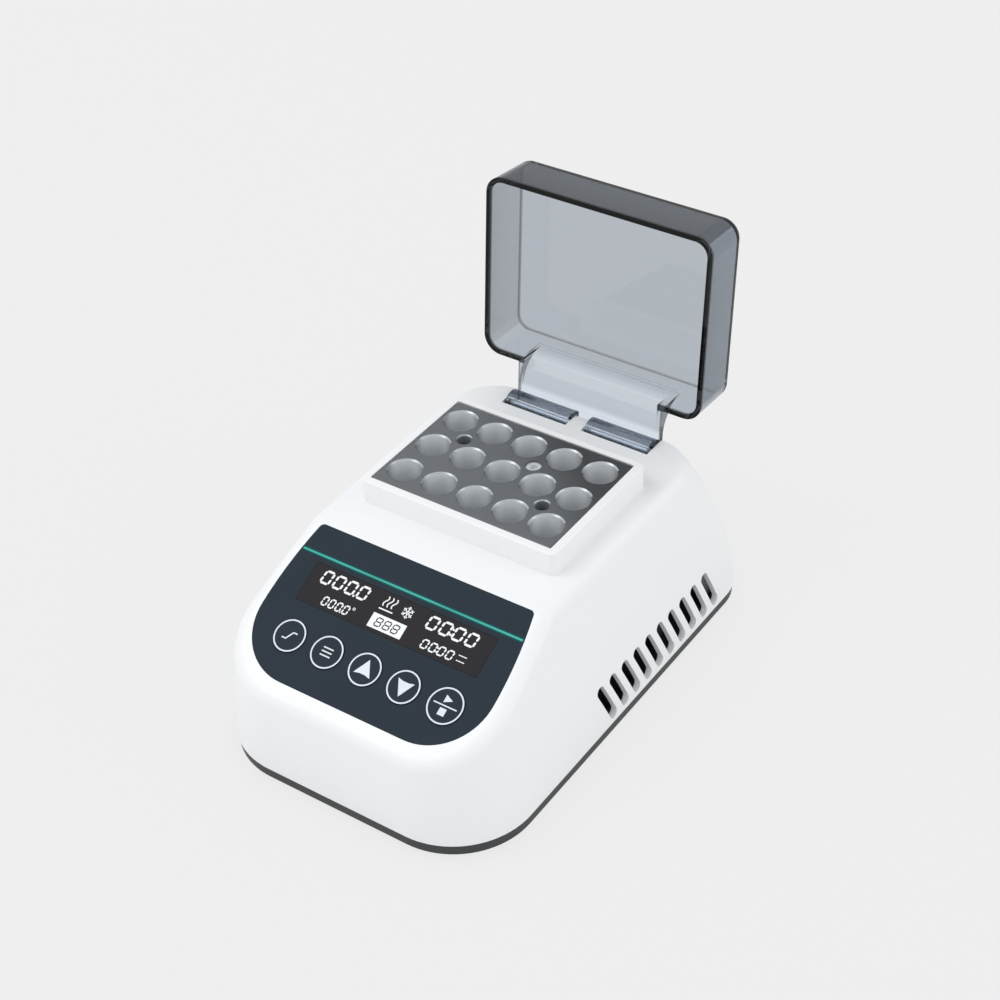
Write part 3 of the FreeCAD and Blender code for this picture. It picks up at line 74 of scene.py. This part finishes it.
# Lid: its hinge line, the way its top and its front face while it stands open, how far its
# rim, top, front wall and the end of its tab lie from the hinge, and its walls and half widths
HINGE_MM = (56.2, 59.8)
LID_OPEN = math.radians(95.8)
LID_UP = Vector((0, math.sin(LID_OPEN), math.cos(LID_OPEN)))
LID_FRONT = Vector((0, -math.cos(LID_OPEN), math.sin(LID_OPEN)))
LID_RIM_MM = 3.7
LID_TOP_MM = 23.3
LID_END_MM = 80.1
LID_SIDE_MM = 42.6
LID_WALL_MM = 1.8
TAB_END_MM = 14.0
TAB_SIDE_MM = 28.3
BARREL_MM = 4.8
SMOKE_TINT = (0.55, 0.585, 0.63)
SMOKE_VOLUME = (0.07, 0.175, 0.307, 1.0)
SMOKE_DENSITY = 30.0

# Studio: the world's light, the floor, and where the lamps point
WORLD_TINT = (0.97, 0.985, 1.0, 1.0)
WORLD_STRENGTH = 0.88
FLOOR_GREY = (232, 232, 232)
FLOOR_SIZE = 12.0
FLOOR_GLOW_SHARE = 0.9
LAMP_TARGET = (0, 0, 0.05)

# How far a surface's gloss strays from its mean
GLOSS_DRIFT = 0.02


def linear(rgb):
    """A screen colour as the linear values that a shader takes."""
    def one(channel):
        value = channel / 255
        return value / 12.92 if value <= 0.04045 else ((value + 0.055) / 1.055) ** 2.4
    return (*(one(channel) for channel in rgb), 1.0)


def add_camera():
    data = bpy.data.cameras.new("camera")
    data.lens = CAMERA_LENS_MM
    data.sensor_width = CAMERA_SENSOR_MM
    camera = bpy.data.objects.new("camera", data)
    bpy.context.scene.collection.objects.link(camera)
    level = Vector((math.cos(CAMERA_AZIMUTH), math.sin(CAMERA_AZIMUTH), 0))
    forward = Vector((
        -math.sin(CAMERA_AZIMUTH) * math.cos(CAMERA_ELEVATION),
        math.cos(CAMERA_AZIMUTH) * math.cos(CAMERA_ELEVATION),
        -math.sin(CAMERA_ELEVATION),
    ))
    upright = level.cross(forward)
    right = level * math.cos(CAMERA_ROLL) + upright * math.sin(CAMERA_ROLL)
    up = right.cross(forward)
    turn = Matrix((right, up, -forward)).transposed().to_4x4()
    camera.matrix_world = Matrix.Translation(Vector(CAMERA_PLACE_MM) * MM) @ turn
    bpy.context.scene.camera = camera


def new_material(name):
    material = bpy.data.materials.new(name)
    material.use_nodes = True
    tree = material.node_tree
    return material, tree, tree.nodes["Principled BSDF"]


def add_node(tree, kind, **settings):
    node = tree.nodes.new(kind)
    for name, value in settings.items():
        if name in node.inputs:
            node.inputs[name].default_value = value
        else:
            setattr(node, name, value)
    return node


def textured(name, colour, roughness, grain_mm, bump, mottle=0.03, metallic=0.0, coat=0.0, shine=0.5):
    """A surface whose colour, gloss and relief vary a little with fine and broad noise."""
    material, tree, shader = new_material(name)
    place = add_node(tree, "ShaderNodeTexCoord")
    fine = add_node(tree, "ShaderNodeTexNoise", Scale=1000 / grain_mm, Detail=3.0, Roughness=0.6)
    broad = add_node(tree, "ShaderNodeTexNoise", Scale=1000 / (grain_mm * 90), Detail=2.0, Roughness=0.5)
    tree.links.new(place.outputs["Object"], fine.inputs["Vector"])
    tree.links.new(place.outputs["Object"], broad.inputs["Vector"])
    shades = add_node(tree, "ShaderNodeValToRGB")
    base = linear(colour)
    for element, share in zip(shades.color_ramp.elements, (1 - mottle, 1 + mottle)):
        element.color = (*(min(1.0, channel * share) for channel in base[:3]), 1.0)
    shades.color_ramp.elements[0].position = 0.35
    shades.color_ramp.elements[1].position = 0.65
    tree.links.new(broad.outputs["Fac"], shades.inputs["Fac"])
    tree.links.new(shades.outputs["Color"], shader.inputs["Base Color"])
    gloss = add_node(tree, "ShaderNodeMapRange")
    gloss.inputs["From Min"].default_value = 0.3
    gloss.inputs["From Max"].default_value = 0.7
    gloss.inputs["To Min"].default_value = roughness - GLOSS_DRIFT
    gloss.inputs["To Max"].default_value = roughness + GLOSS_DRIFT
    tree.links.new(fine.outputs["Fac"], gloss.inputs["Value"])
    tree.links.new(gloss.outputs["Result"], shader.inputs["Roughness"])
    relief = add_node(tree, "ShaderNodeBump", Strength=bump, Distance=grain_mm * MM * 0.3)
    tree.links.new(fine.outputs["Fac"], relief.inputs["Height"])
    tree.links.new(relief.outputs["Normal"], shader.inputs["Normal"])
    shader.inputs["Metallic"].default_value = metallic
    shader.inputs["Coat Weight"].default_value = coat
    shader.inputs["Specular IOR Level"].default_value = shine
    return material


def along(tree, source, direction):
    """How far a place, or a wall's facing, lies along a direction of the piece."""
    place = add_node(tree, "ShaderNodeTexCoord")
    product = add_node(tree, "ShaderNodeVectorMath", operation="DOT_PRODUCT")
    product.inputs[1].default_value = direction
    tree.links.new(place.outputs[source], product.inputs[0])
    return product.outputs["Value"]


def remap(tree, socket, low, high, low_result, high_result):
    """An even, soft-ended change from one result to the other between two values."""
    step = add_node(tree, "ShaderNodeMapRange")
    step.interpolation_type = "SMOOTHSTEP"
    step.inputs["From Min"].default_value = low
    step.inputs["From Max"].default_value = high
    step.inputs["To Min"].default_value = low_result
    step.inputs["To Max"].default_value = high_result
    tree.links.new(socket, step.inputs["Value"])
    return step.outputs["Result"]


def combine(tree, operation, first, second):
    """A maths step on two sockets, or on a socket and a number."""
    node = add_node(tree, "ShaderNodeMath", operation=operation)
    tree.links.new(first, node.inputs[0])
    if isinstance(second, (int, float)):
        node.inputs[1].default_value = second
    else:
        tree.links.new(second, node.inputs[1])
    return node.outputs[0]


def scale_colour(tree, colour, share):
    """Give the surface a colour, or a socket's colour, made darker or lighter by the share."""
    scaled = add_node(tree, "ShaderNodeVectorMath", operation="SCALE")
    if isinstance(colour, tuple):
        scaled.inputs[0].default_value = colour
    else:
        tree.links.new(colour, scaled.inputs[0])
    tree.links.new(share, scaled.inputs["Scale"])
    tree.links.new(scaled.outputs["Vector"], tree.nodes["Principled BSDF"].inputs["Base Color"])


def fade(material, source, direction, low, high, low_share, high_share):
    """Scale a surface's colour by how far it lies, or how squarely it faces, along a direction."""
    tree = material.node_tree
    colour = tree.nodes["Principled BSDF"].inputs["Base Color"].links[0].from_socket
    reach = along(tree, source, direction)
    if source == "Normal":
        reach = combine(tree, "ABSOLUTE", reach, 0.0)
    scale_colour(tree, colour, remap(tree, reach, low, high, low_share, high_share))


def clear_plastic(name):
    """Smoke-tinted clear plastic, with painted shade at the rim, along the outer edges, on the end and
    side walls, at the tab's ends and along the barrel's front, and painted light on the inner edge and in
    the hinge barrel.
    """
    material, tree, shader = new_material(name)
    shader.inputs["Transmission Weight"].default_value = 1.0
    shader.inputs["IOR"].default_value = 1.3
    place = add_node(tree, "ShaderNodeTexCoord")
    smear = add_node(tree, "ShaderNodeTexNoise", Scale=60.0, Detail=2.0)
    tree.links.new(place.outputs["Object"], smear.inputs["Vector"])
    tree.links.new(remap(tree, smear.outputs["Fac"], 0.3, 0.7, 0.01, 0.03), shader.inputs["Roughness"])
    hinge = Vector((0, *HINGE_MM)) * MM
    height = combine(tree, "SUBTRACT", along(tree, "Object", LID_UP), hinge.dot(LID_UP))
    reach = combine(tree, "SUBTRACT", along(tree, "Object", LID_FRONT), hinge.dot(LID_FRONT))
    across = combine(tree, "ABSOLUTE", along(tree, "Object", (1, 0, 0)), 0.0)

    def band(socket, low_mm, high_mm, low_share, high_share):
        return remap(tree, socket, low_mm * MM, high_mm * MM, low_share, high_share)

    def both(first, second):
        return combine(tree, "MULTIPLY", first, second)

    facing = along(tree, "Normal", LID_UP)
    # Painted shade where the surface turns edge-on, and painted light along the inner edge of the top
    # wall
    flat = combine(tree, "ABSOLUTE", combine(tree, "SUBTRACT", both(facing, facing), 0.5), 0.0)
    ceiling = LID_TOP_MM - LID_WALL_MM
    inside = band(height, ceiling - 0.1, ceiling + 0.2, 1.0, 0.0)
    inner_edge_light = both(inside, remap(tree, flat, 0.1, 0.5, 1.7, 1.0))
    edge = combine(tree, "MAXIMUM", remap(tree, flat, 0.1, 0.5, 0.15, 1.0), inner_edge_light)
    # Painted shade at the rim and on the end and side walls
    rim = band(height, LID_RIM_MM + 0.3, LID_RIM_MM + 1.5, 0.02, 1.0)
    inner_end = LID_END_MM - LID_WALL_MM
    inner_side = LID_SIDE_MM - LID_WALL_MM
    end_wall = band(reach, inner_end - 0.4, inner_end + 0.2, 1.0, 0.18)
    side_wall = band(across, inner_side - 0.4, inner_side + 0.2, 1.0, 0.7)
    shell = both(both(rim, edge), both(end_wall, side_wall))
    # Painted shade at the tab's ends and along the barrel's front, painted light on the barrel
    ends = band(across, TAB_SIDE_MM - 0.8, TAB_SIDE_MM - 0.2, 1.15, 0.2)
    front_shade_line = band(height, -BARREL_MM + 0.2, -BARREL_MM + 1.0, 0.3, 1.0)
    barrel = band(reach, 5.0, 6.5, 1.35, 1.0)
    inside_tab = band(reach, TAB_END_MM, TAB_END_MM + 0.4, 1.0, 0.0)
    tab = both(both(ends, front_shade_line), both(barrel, inside_tab))
    outside_tab = band(reach, TAB_END_MM, TAB_END_MM + 0.4, 0.0, 1.0)
    share = combine(tree, "ADD", both(shell, outside_tab), tab)
    scale_colour(tree, SMOKE_TINT, share)
    smoke = add_node(tree, "ShaderNodeVolumeAbsorption")
    smoke.inputs["Color"].default_value = SMOKE_VOLUME
    smoke.inputs["Density"].default_value = SMOKE_DENSITY
    tree.links.new(smoke.outputs["Volume"], tree.nodes["Material Output"].inputs["Volume"])
    return material


def dress(names, material):
    for name in names:
        data = NODES[name].data
        data.materials.clear()
        data.materials.append(material)


def smooth(names, angle_degrees):
    """Shade the curved faces smooth and keep the edges sharper than the angle crisp."""
    for name in names:
        NODES[name].data.shade_smooth()
        NODES[name].data.set_sharp_from_angle(angle=math.radians(angle_degrees))


def shown_to(tree, *rays):
    """1 for the kinds of ray that see the plain background, and 0 for all others."""
    path = add_node(tree, "ShaderNodeLightPath")
    seen = path.outputs[rays[0]]
    for ray in rays[1:]:
        seen = combine(tree, "MAXIMUM", seen, path.outputs[ray])
    return seen


def mix_shaders(tree, share, first, second, output):
    mix = add_node(tree, "ShaderNodeMixShader")
    tree.links.new(share, mix.inputs["Fac"])
    tree.links.new(first, mix.inputs[1])
    tree.links.new(second, mix.inputs[2])
    tree.links.new(mix.outputs["Shader"], tree.nodes[output].inputs["Surface"])


def add_stage():
    """A pale floor that shows the background colour and a soft share of the shadow."""
    bpy.ops.mesh.primitive_plane_add(size=FLOOR_SIZE)
    floor = bpy.context.object
    floor.name = "floor"
    material, tree, shader = new_material("floor")
    shader.inputs["Base Color"].default_value = linear(FLOOR_GREY)
    shader.inputs["Roughness"].default_value = 0.9
    shader.inputs["Specular IOR Level"].default_value = 0.0
    glow = add_node(tree, "ShaderNodeEmission", Color=linear(BACKGROUND), Strength=1.0)
    seen = shown_to(tree, "Is Camera Ray", "Is Glossy Ray", "Is Transmission Ray")
    share = combine(tree, "MULTIPLY", seen, FLOOR_GLOW_SHARE)
    mix_shaders(tree, share, shader.outputs["BSDF"], glow.outputs["Emission"], "Material Output")
    floor.data.materials.append(material)


def add_world():
    """Even studio light, behind which the camera sees the plain background."""
    world = bpy.data.worlds.new("studio")
    bpy.context.scene.world = world
    world.use_nodes = True
    tree = world.node_tree
    light = tree.nodes["Background"]
    light.inputs["Color"].default_value = WORLD_TINT
    light.inputs["Strength"].default_value = WORLD_STRENGTH
    shown = add_node(tree, "ShaderNodeBackground", Color=linear(BACKGROUND), Strength=1.0)
    seen = shown_to(tree, "Is Camera Ray", "Is Transmission Ray")
    mix_shaders(tree, seen, light.outputs["Background"], shown.outputs["Background"], "World Output")


def add_lamp(name, place, size, power):
    data = bpy.data.lights.new(name, "AREA")
    data.shape = "DISK"
    data.size = size
    data.energy = power
    lamp = bpy.data.objects.new(name, data)
    bpy.context.scene.collection.objects.link(lamp)
    lamp.location = place
    lamp.rotation_euler = (Vector(LAMP_TARGET) - Vector(place)).to_track_quat("-Z", "Y").to_euler()


def panel_point(x, down, lift):
    """A point on the sloping panel in metres: across, down the slope and up from it."""
    _, top_y, top_z = PANEL_TOP_MM
    along = Vector((0, -math.cos(PANEL_SLOPE), -math.sin(PANEL_SLOPE)))
    out = Vector((0, -math.sin(PANEL_SLOPE), math.cos(PANEL_SLOPE)))
    return (Vector((x, top_y, top_z)) + along * down + out * lift) * MM


# Printed marks are thin solids that stand a hair above the film they are printed on
INK_LOW_MM = -0.02
INK_HIGH_MM = 0.03


class Print:
    """Collects flat marks on the panel and makes one thin solid piece of them."""

    def __init__(self, surface_mm=0.0):
        self.mesh = bmesh.new()
        self.surface = surface_mm

    def _loop(self, points, lift):
        return [self.mesh.verts.new(panel_point(x, down, self.surface + lift)) for x, down in points]

    def shape(self, points):
        """A filled outline."""
        low = self._loop(points, INK_LOW_MM)
        high = self._loop(points, INK_HIGH_MM)
        self.mesh.faces.new(high)
        self.mesh.faces.new(low[::-1])
        for i in range(len(points)):
            j = (i + 1) % len(points)
            self.mesh.faces.new((low[i], low[j], high[j], high[i]))

    def ring(self, x, down, inner, outer, steps=72):
        turns = [2 * math.pi * i / steps for i in range(steps)]
        loops = [
            self._loop([(x + r * math.cos(a), down + r * math.sin(a)) for a in turns], lift)
            for r, lift in (
                (inner, INK_LOW_MM),
                (outer, INK_LOW_MM),
                (outer, INK_HIGH_MM),
                (inner, INK_HIGH_MM),
            )
        ]
        for first, second in zip(loops, loops[1:] + loops[:1]):
            for i in range(steps):
                j = (i + 1) % steps
                self.mesh.faces.new((first[i], first[j], second[j], second[i]))

    def ribbon(self, points, width):
        """A line of one width through the points."""
        left, right = [], []
        for i, (x, down) in enumerate(points):
            before = Vector(points[max(i - 1, 0)])
            after = Vector(points[min(i + 1, len(points) - 1)])
            side = (after - before).normalized() * width / 2
            left.append((x - side.y, down + side.x))
            right.append((x + side.y, down - side.x))
        self.shape(left + right[::-1])

    def bar(self, x_low, x_high, down, width):
        self.ribbon([(x_low, down), (x_high, down)], width)

    def finish(self, name, material, body):
        bmesh.ops.recalc_face_normals(self.mesh, faces=self.mesh.faces)
        data = bpy.data.meshes.new(name)
        self.mesh.to_mesh(data)
        self.mesh.free()
        piece = bpy.data.objects.new(name, data)
        bpy.context.scene.collection.objects.link(piece)
        data.materials.append(material)
        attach(piece, body)


DIGIT_SLANT = math.tan(math.radians(7))
SEGMENTS_ON = {"0": "abcdef", "8": "abcdefg"}


def digit(ink, figure, x, down, width, height, stroke):
    """One seven-segment figure, its upper left corner at x and down."""
    gap = stroke * 0.16
    half = stroke / 2
    top, middle, bottom = down + half, down + height / 2, down + height - half
    left, right = x + half, x + width - half
    ends = {
        "a": ((left, top), (right, top)),
        "b": ((right, top), (right, middle)),
        "c": ((right, middle), (right, bottom)),
        "d": ((left, bottom), (right, bottom)),
        "e": ((left, middle), (left, bottom)),
        "f": ((left, top), (left, middle)),
        "g": ((left, middle), (right, middle)),
    }
    foot = down + height
    for segment in SEGMENTS_ON[figure]:
        (x0, d0), (x1, d1) = ends[segment]
        if d0 == d1:
            x0, x1 = x0 + gap, x1 - gap
            outline = [
                (x0, d0),
                (x0 + half, d0 - half),
                (x1 - half, d0 - half),
                (x1, d0),
                (x1 - half, d0 + half),
                (x0 + half, d0 + half),
            ]
        else:
            d0, d1 = d0 + gap, d1 - gap
            outline = [
                (x0, d0),
                (x0 + half, d0 + half),
                (x0 + half, d1 - half),
                (x0, d1),
                (x0 - half, d1 - half),
                (x0 - half, d0 + half),
            ]
        ink.shape([(px + (foot - pd) * DIGIT_SLANT, pd) for px, pd in outline])


def dot(ink, x, down, side):
    """A square mark, its upper left corner at x and down."""
    ink.shape([(x, down), (x + side, down), (x + side, down + side), (x, down + side)])


def figures(ink, text, x_low, x_high, down, height, stroke, fill=0.8):
    """A row of figures; a point or colon sits between its neighbours and takes no place."""
    count = sum(character in SEGMENTS_ON for character in text)
    pitch = (x_high - x_low) / (count - (1 - fill))
    place = 0
    for character in text:
        x = x_low + place * pitch
        if character in SEGMENTS_ON:
            digit(ink, character, x, down, pitch * fill, height, stroke)
            place += 1
        elif character == ".":
            dot(ink, x - pitch * (1 - fill) * 0.85, down + height - stroke, stroke * 0.9)
        else:
            for share in (0.28, 0.66):
                lean = (1 - share) * height * DIGIT_SLANT
                dot(ink, x - pitch * (1 - fill) * 0.9 + lean, down + height * share, stroke * 0.9)


# Places on the panel in millimetres: across from the middle, and down from its upper edge
FILM_MM = -0.05
LINE_DOWN_MM = 9.7
LINE_HALF_MM = 41.9
KEYS_DOWN_MM = 37.6
KEY_X_MM = {
    "program_key": -29.0,
    "menu_key": -14.35,
    "up_key": 0.3,
    "down_key": 14.95,
    "start_stop_key": 30.4,
}
KEY_PROUD_MM = 0.3
RING_RADIUS_MM = 5.5
LAST_RING_RADIUS_MM = 6.0
RING_WIDTH_MM = 0.5
# Rows of figures: what they say, their left and right ends, top, height and stroke
FIGURE_ROWS_MM = (
    ("000.0", -30.5, -12.6, 13.3, 4.9, 0.74),
    ("000.0", -25.9, -15.6, 21.3, 3.3, 0.5),
    ("00:00", 10.3, 28.6, 13.4, 4.8, 0.74),
    ("00:00", 12.2, 24.0, 21.1, 3.3, 0.5),
)
# The light box of the small counter: its left, right, top and bottom
COUNTER_MM = (-7.4, 5.2, 19.8, 24.7)


def add_teal_line(glow_material, material):
    """A bright line in a darker band of painted glow, from edge to edge of the film."""
    band = Print(surface_mm=FILM_MM)
    band.bar(-LINE_HALF_MM, LINE_HALF_MM, LINE_DOWN_MM, 1.7)
    band.finish("teal_glow_band", glow_material, "base")
    ink = Print(surface_mm=FILM_MM + INK_HIGH_MM)
    ink.bar(-LINE_HALF_MM, LINE_HALF_MM, LINE_DOWN_MM, 0.7)
    ink.finish("teal_line", material, "base")


def add_display_figures(material, dark):
    """Rows of figures, a degree ring, two level marks, two signs and the counter's light box."""
    ink = Print(surface_mm=FILM_MM)
    for row in FIGURE_ROWS_MM:
        figures(ink, *row)
    ink.ring(-14.1, 21.6, 0.28, 0.5, steps=24)
    for down in (21.6, 23.4):
        ink.bar(25.6, 28.6, down, 0.3)
    draw_heat_sign(ink, -6.6, 13.4)
    draw_snow_sign(ink, 3.0, 15.9, 2.1)
    left, right, top, bottom = COUNTER_MM
    ink.shape([(left, top), (right, top), (right, bottom), (left, bottom)])
    ink.finish("display_figures", material, "base")
    shade = Print(surface_mm=FILM_MM + INK_HIGH_MM)
    figures(shade, "888", left + 1.8, right - 2.0, top + 0.9, 3.2, 0.4, fill=0.78)
    shade.finish("display_count", dark, "base")


def draw_heat_sign(ink, x, down):
    """Three rising waves over a bar."""
    for column in range(3):
        points = []
        for i in range(13):
            share = i / 12
            wave = 0.42 * math.sin(share * 2 * math.pi)
            points.append((x + 0.7 + column * 1.6 + wave + (1 - share) * 0.5, down + share * 3.5))
        ink.ribbon(points, 0.42)
    ink.bar(x - 0.2, x + 5.0, down + 4.6, 0.42)


def draw_snow_sign(ink, x, down, reach):
    """Six arms, each with a pair of twigs."""
    for arm in range(6):
        angle = math.pi / 6 + arm * math.pi / 3
        away = Vector((math.cos(angle), math.sin(angle)))
        middle = Vector((x, down))
        ink.ribbon([tuple(middle + away * 0.12), tuple(middle + away * reach)], 0.4)
        for lean in (-0.9, 0.9):
            start = middle + away * reach * 0.55
            twig = Vector((math.cos(angle + lean), math.sin(angle + lean)))
            ink.ribbon([tuple(start), tuple(start + twig * reach * 0.36)], 0.32)


def draw_arrow(ink, x, down, turn):
    """An arrow head with a hollowed base; it points up the panel, or down where turn is -1."""
    outline = [(-3.05, 2.1), (-1.0, 1.65), (1.0, 1.65), (3.05, 2.1), (0.0, -3.4)]
    ink.shape([(x + across, down + turn * along) for across, along in outline])


def add_key_signs(material):
    """A ring and a plain sign on each key."""
    for name, x in KEY_X_MM.items():
        ink = Print(surface_mm=KEY_PROUD_MM)
        down = KEYS_DOWN_MM
        radius = LAST_RING_RADIUS_MM if name == "start_stop_key" else RING_RADIUS_MM
        ink.ring(x, down, radius - RING_WIDTH_MM, radius)
        if name == "program_key":
            low, high = down + 1.3, down - 1.3
            ink.ribbon([(x - 2.3, low), (x - 0.8, low), (x + 0.8, high), (x + 2.3, high)], 0.5)
        elif name == "menu_key":
            for step in (-1.3, 0.0, 1.3):
                ink.bar(x - 1.9, x + 1.9, down + step, 0.45)
        elif name == "up_key":
            draw_arrow(ink, x, down, 1)
        elif name == "down_key":
            draw_arrow(ink, x, down, -1)
        else:
            ink.bar(x - 4.2, x + 4.2, down, 0.42)
            ink.shape([(x - 1.2, down - 3.4), (x + 1.6, down - 2.1), (x - 1.2, down - 0.8)])
            dot(ink, x - 1.2, down + 0.9, 2.4)
        ink.finish(name + "_sign", material, name)


def paint_wells(highlight_rim_material, bore_material, lift_material):
    """Give the bores a bright turned finish with painted shade on their sides, and the far side of each
    rim a painted highlight.
    """
    data = NODES["tube_block"].data
    for material in (highlight_rim_material, bore_material, lift_material):
        data.materials.append(material)
    pitch_x, pitch_y = WELL_PITCH_MM
    middles = [
        (column * pitch_x, BLOCK_MIDDLE_Y_MM + line * pitch_y, WELL_RADIUS_MM)
        for column in range(-2, 3)
        for line in range(-1, 2)
    ]
    for side in (-1, 1):
        middles.append((side * 1.5 * pitch_x, BLOCK_MIDDLE_Y_MM - side * pitch_y / 2, LIFT_RADIUS_MM))
    away = Vector(FAR_SIDE)
    for face in data.polygons:
        x, y, z = face.center / MM
        near = [radius for mx, my, radius in middles if math.hypot(x - mx, y - my) < radius + WELL_RIM_MM]
        if not near or z < WELL_FLOOR_MM or face.normal.z > 0.95:
            continue
        if z < BLOCK_TOP_MM - WELL_RIM_MM:
            face.material_index = 2 if near[0] == WELL_RADIUS_MM else 3
        # Painted highlight: only rim faces on the far side of each well get the bright metal
        elif face.normal.dot(away) < -0.1:
            face.material_index = 1


add_camera()
add_stage()
add_world()
add_lamp("key_light", (-0.9, -0.7, 1.6), size=1.2, power=7.6)
add_lamp("side_light", (1.7, 0.5, 0.8), size=1.2, power=3.4)

smooth(NODES, 30.0)
white = textured("housing_white", HOUSING_WHITE, roughness=0.36, grain_mm=0.35, bump=0.05, mottle=0.004)
dark_tray = textured("tray_grey", TRAY_GREY, roughness=0.5, grain_mm=0.5, bump=0.15)
rubber = textured("foot_rubber", (30, 30, 31), roughness=0.75, grain_mm=0.4, bump=0.3)
steel = textured("bright_steel", (222, 224, 227), roughness=0.32, grain_mm=0.2, bump=0.05, metallic=0.6)
pale_steel = textured("pale_steel", (224, 227, 231), roughness=0.4, grain_mm=0.2, bump=0.05,
                      metallic=0.3)
anodised_painted_shade = textured("block_anodised", (107, 110, 113), roughness=0.5, grain_mm=0.12, bump=0.2,
                    metallic=0.4)
# Painted reflection and shade: the block's colour darkens toward its rear right
fade(anodised_painted_shade, "Object", (0.62, 0.78, 0), 0.01, 0.036, 1.0, 0.42)
lift_bore = textured("lift_bore", (120, 125, 128), roughness=0.5, grain_mm=0.15, bump=0.08)
turned = textured("turned_bore_painted_shade", (241, 244, 246), roughness=0.5, grain_mm=0.15, bump=0.08, metallic=0.2)
# Painted shade: bore walls that stand side-on to the far side are darker
fade(turned, "Normal", FAR_SIDE, 0.25, 0.95, 0.45, 1.0)
rim_painted_highlight = textured("rim_painted_highlight", (185, 190, 193), roughness=0.3, grain_mm=0.15, bump=0.05,
                      metallic=1.0)
plate_metal = textured("plate_metal", (200, 202, 205), roughness=0.4, grain_mm=0.3, bump=0.1,
                       metallic=1.0)
black_fins = textured("black_fins", (22, 22, 24), roughness=0.55, grain_mm=0.3, bump=0.1, metallic=0.4)
ceramic = textured("ceramic_white", (225, 224, 218), roughness=0.6, grain_mm=0.3, bump=0.05)
foam = textured("foam_black", (34, 34, 35), roughness=0.9, grain_mm=0.8, bump=0.6)
black_plastic = textured("black_plastic", (24, 24, 26), roughness=0.45, grain_mm=0.3, bump=0.12)
board = textured("board_green", (24, 78, 46), roughness=0.35, grain_mm=0.6, bump=0.08, coat=0.3)
slate = textured("panel_slate", PANEL_SLATE, roughness=0.42, grain_mm=0.12, bump=0.06, shine=0.08)
window = textured("window_dark", WINDOW_DARK, roughness=0.22, grain_mm=0.5, bump=0.01,
                  mottle=0.02, shine=0.1)
teal = textured("line_teal", LINE_TEAL, roughness=0.4, grain_mm=0.2, bump=0.03, mottle=0.12, shine=0.1)
teal_glow = textured("band_teal_glow", TEAL_GLOW_BAND, roughness=0.45, grain_mm=0.2, bump=0.03,
                     mottle=0.1, shine=0.08)
print_white = textured("print_white", PRINT_WHITE, roughness=0.45, grain_mm=0.12, bump=0.03,
                       mottle=0.02)
glyph_white = textured("glyph_white", GLYPH_WHITE, roughness=0.4, grain_mm=0.12, bump=0.02, mottle=0.02)
smoke = clear_plastic("smoke_clear")

dress(["upper_housing"], white)
dress(["base_tray"], dark_tray)
dress([name for name in NODES if name.endswith("_foot")], rubber)
dress(["hinge_pin", "block_screw"], pale_steel)
dress([name for name in NODES if name.endswith("_screws")], steel)
dress(["temperature_sensor"], steel)
dress(["tube_block"], anodised_painted_shade)
dress(["heat_plate"], plate_metal)
dress(["heat_sink"], black_fins)
dress(["peltier_module"], ceramic)
dress(["insulation_frame"], foam)
dress(["fan_frame", "fan_rotor", "key_switches"], black_plastic)
dress(["power_jack", "power_switch_body", "power_rocker"], black_plastic)
dress(["main_board", "panel_board"], board)
dress(["panel_overlay", *KEY_X_MM], slate)
dress(["display_window", "display_module"], window)
dress(["lid"], smoke)
paint_wells(rim_painted_highlight, turned, lift_bore)
add_teal_line(teal_glow, teal)
add_display_figures(glyph_white, window)
add_key_signs(print_white)

bpy.context.scene.view_settings.view_transform = "Standard"
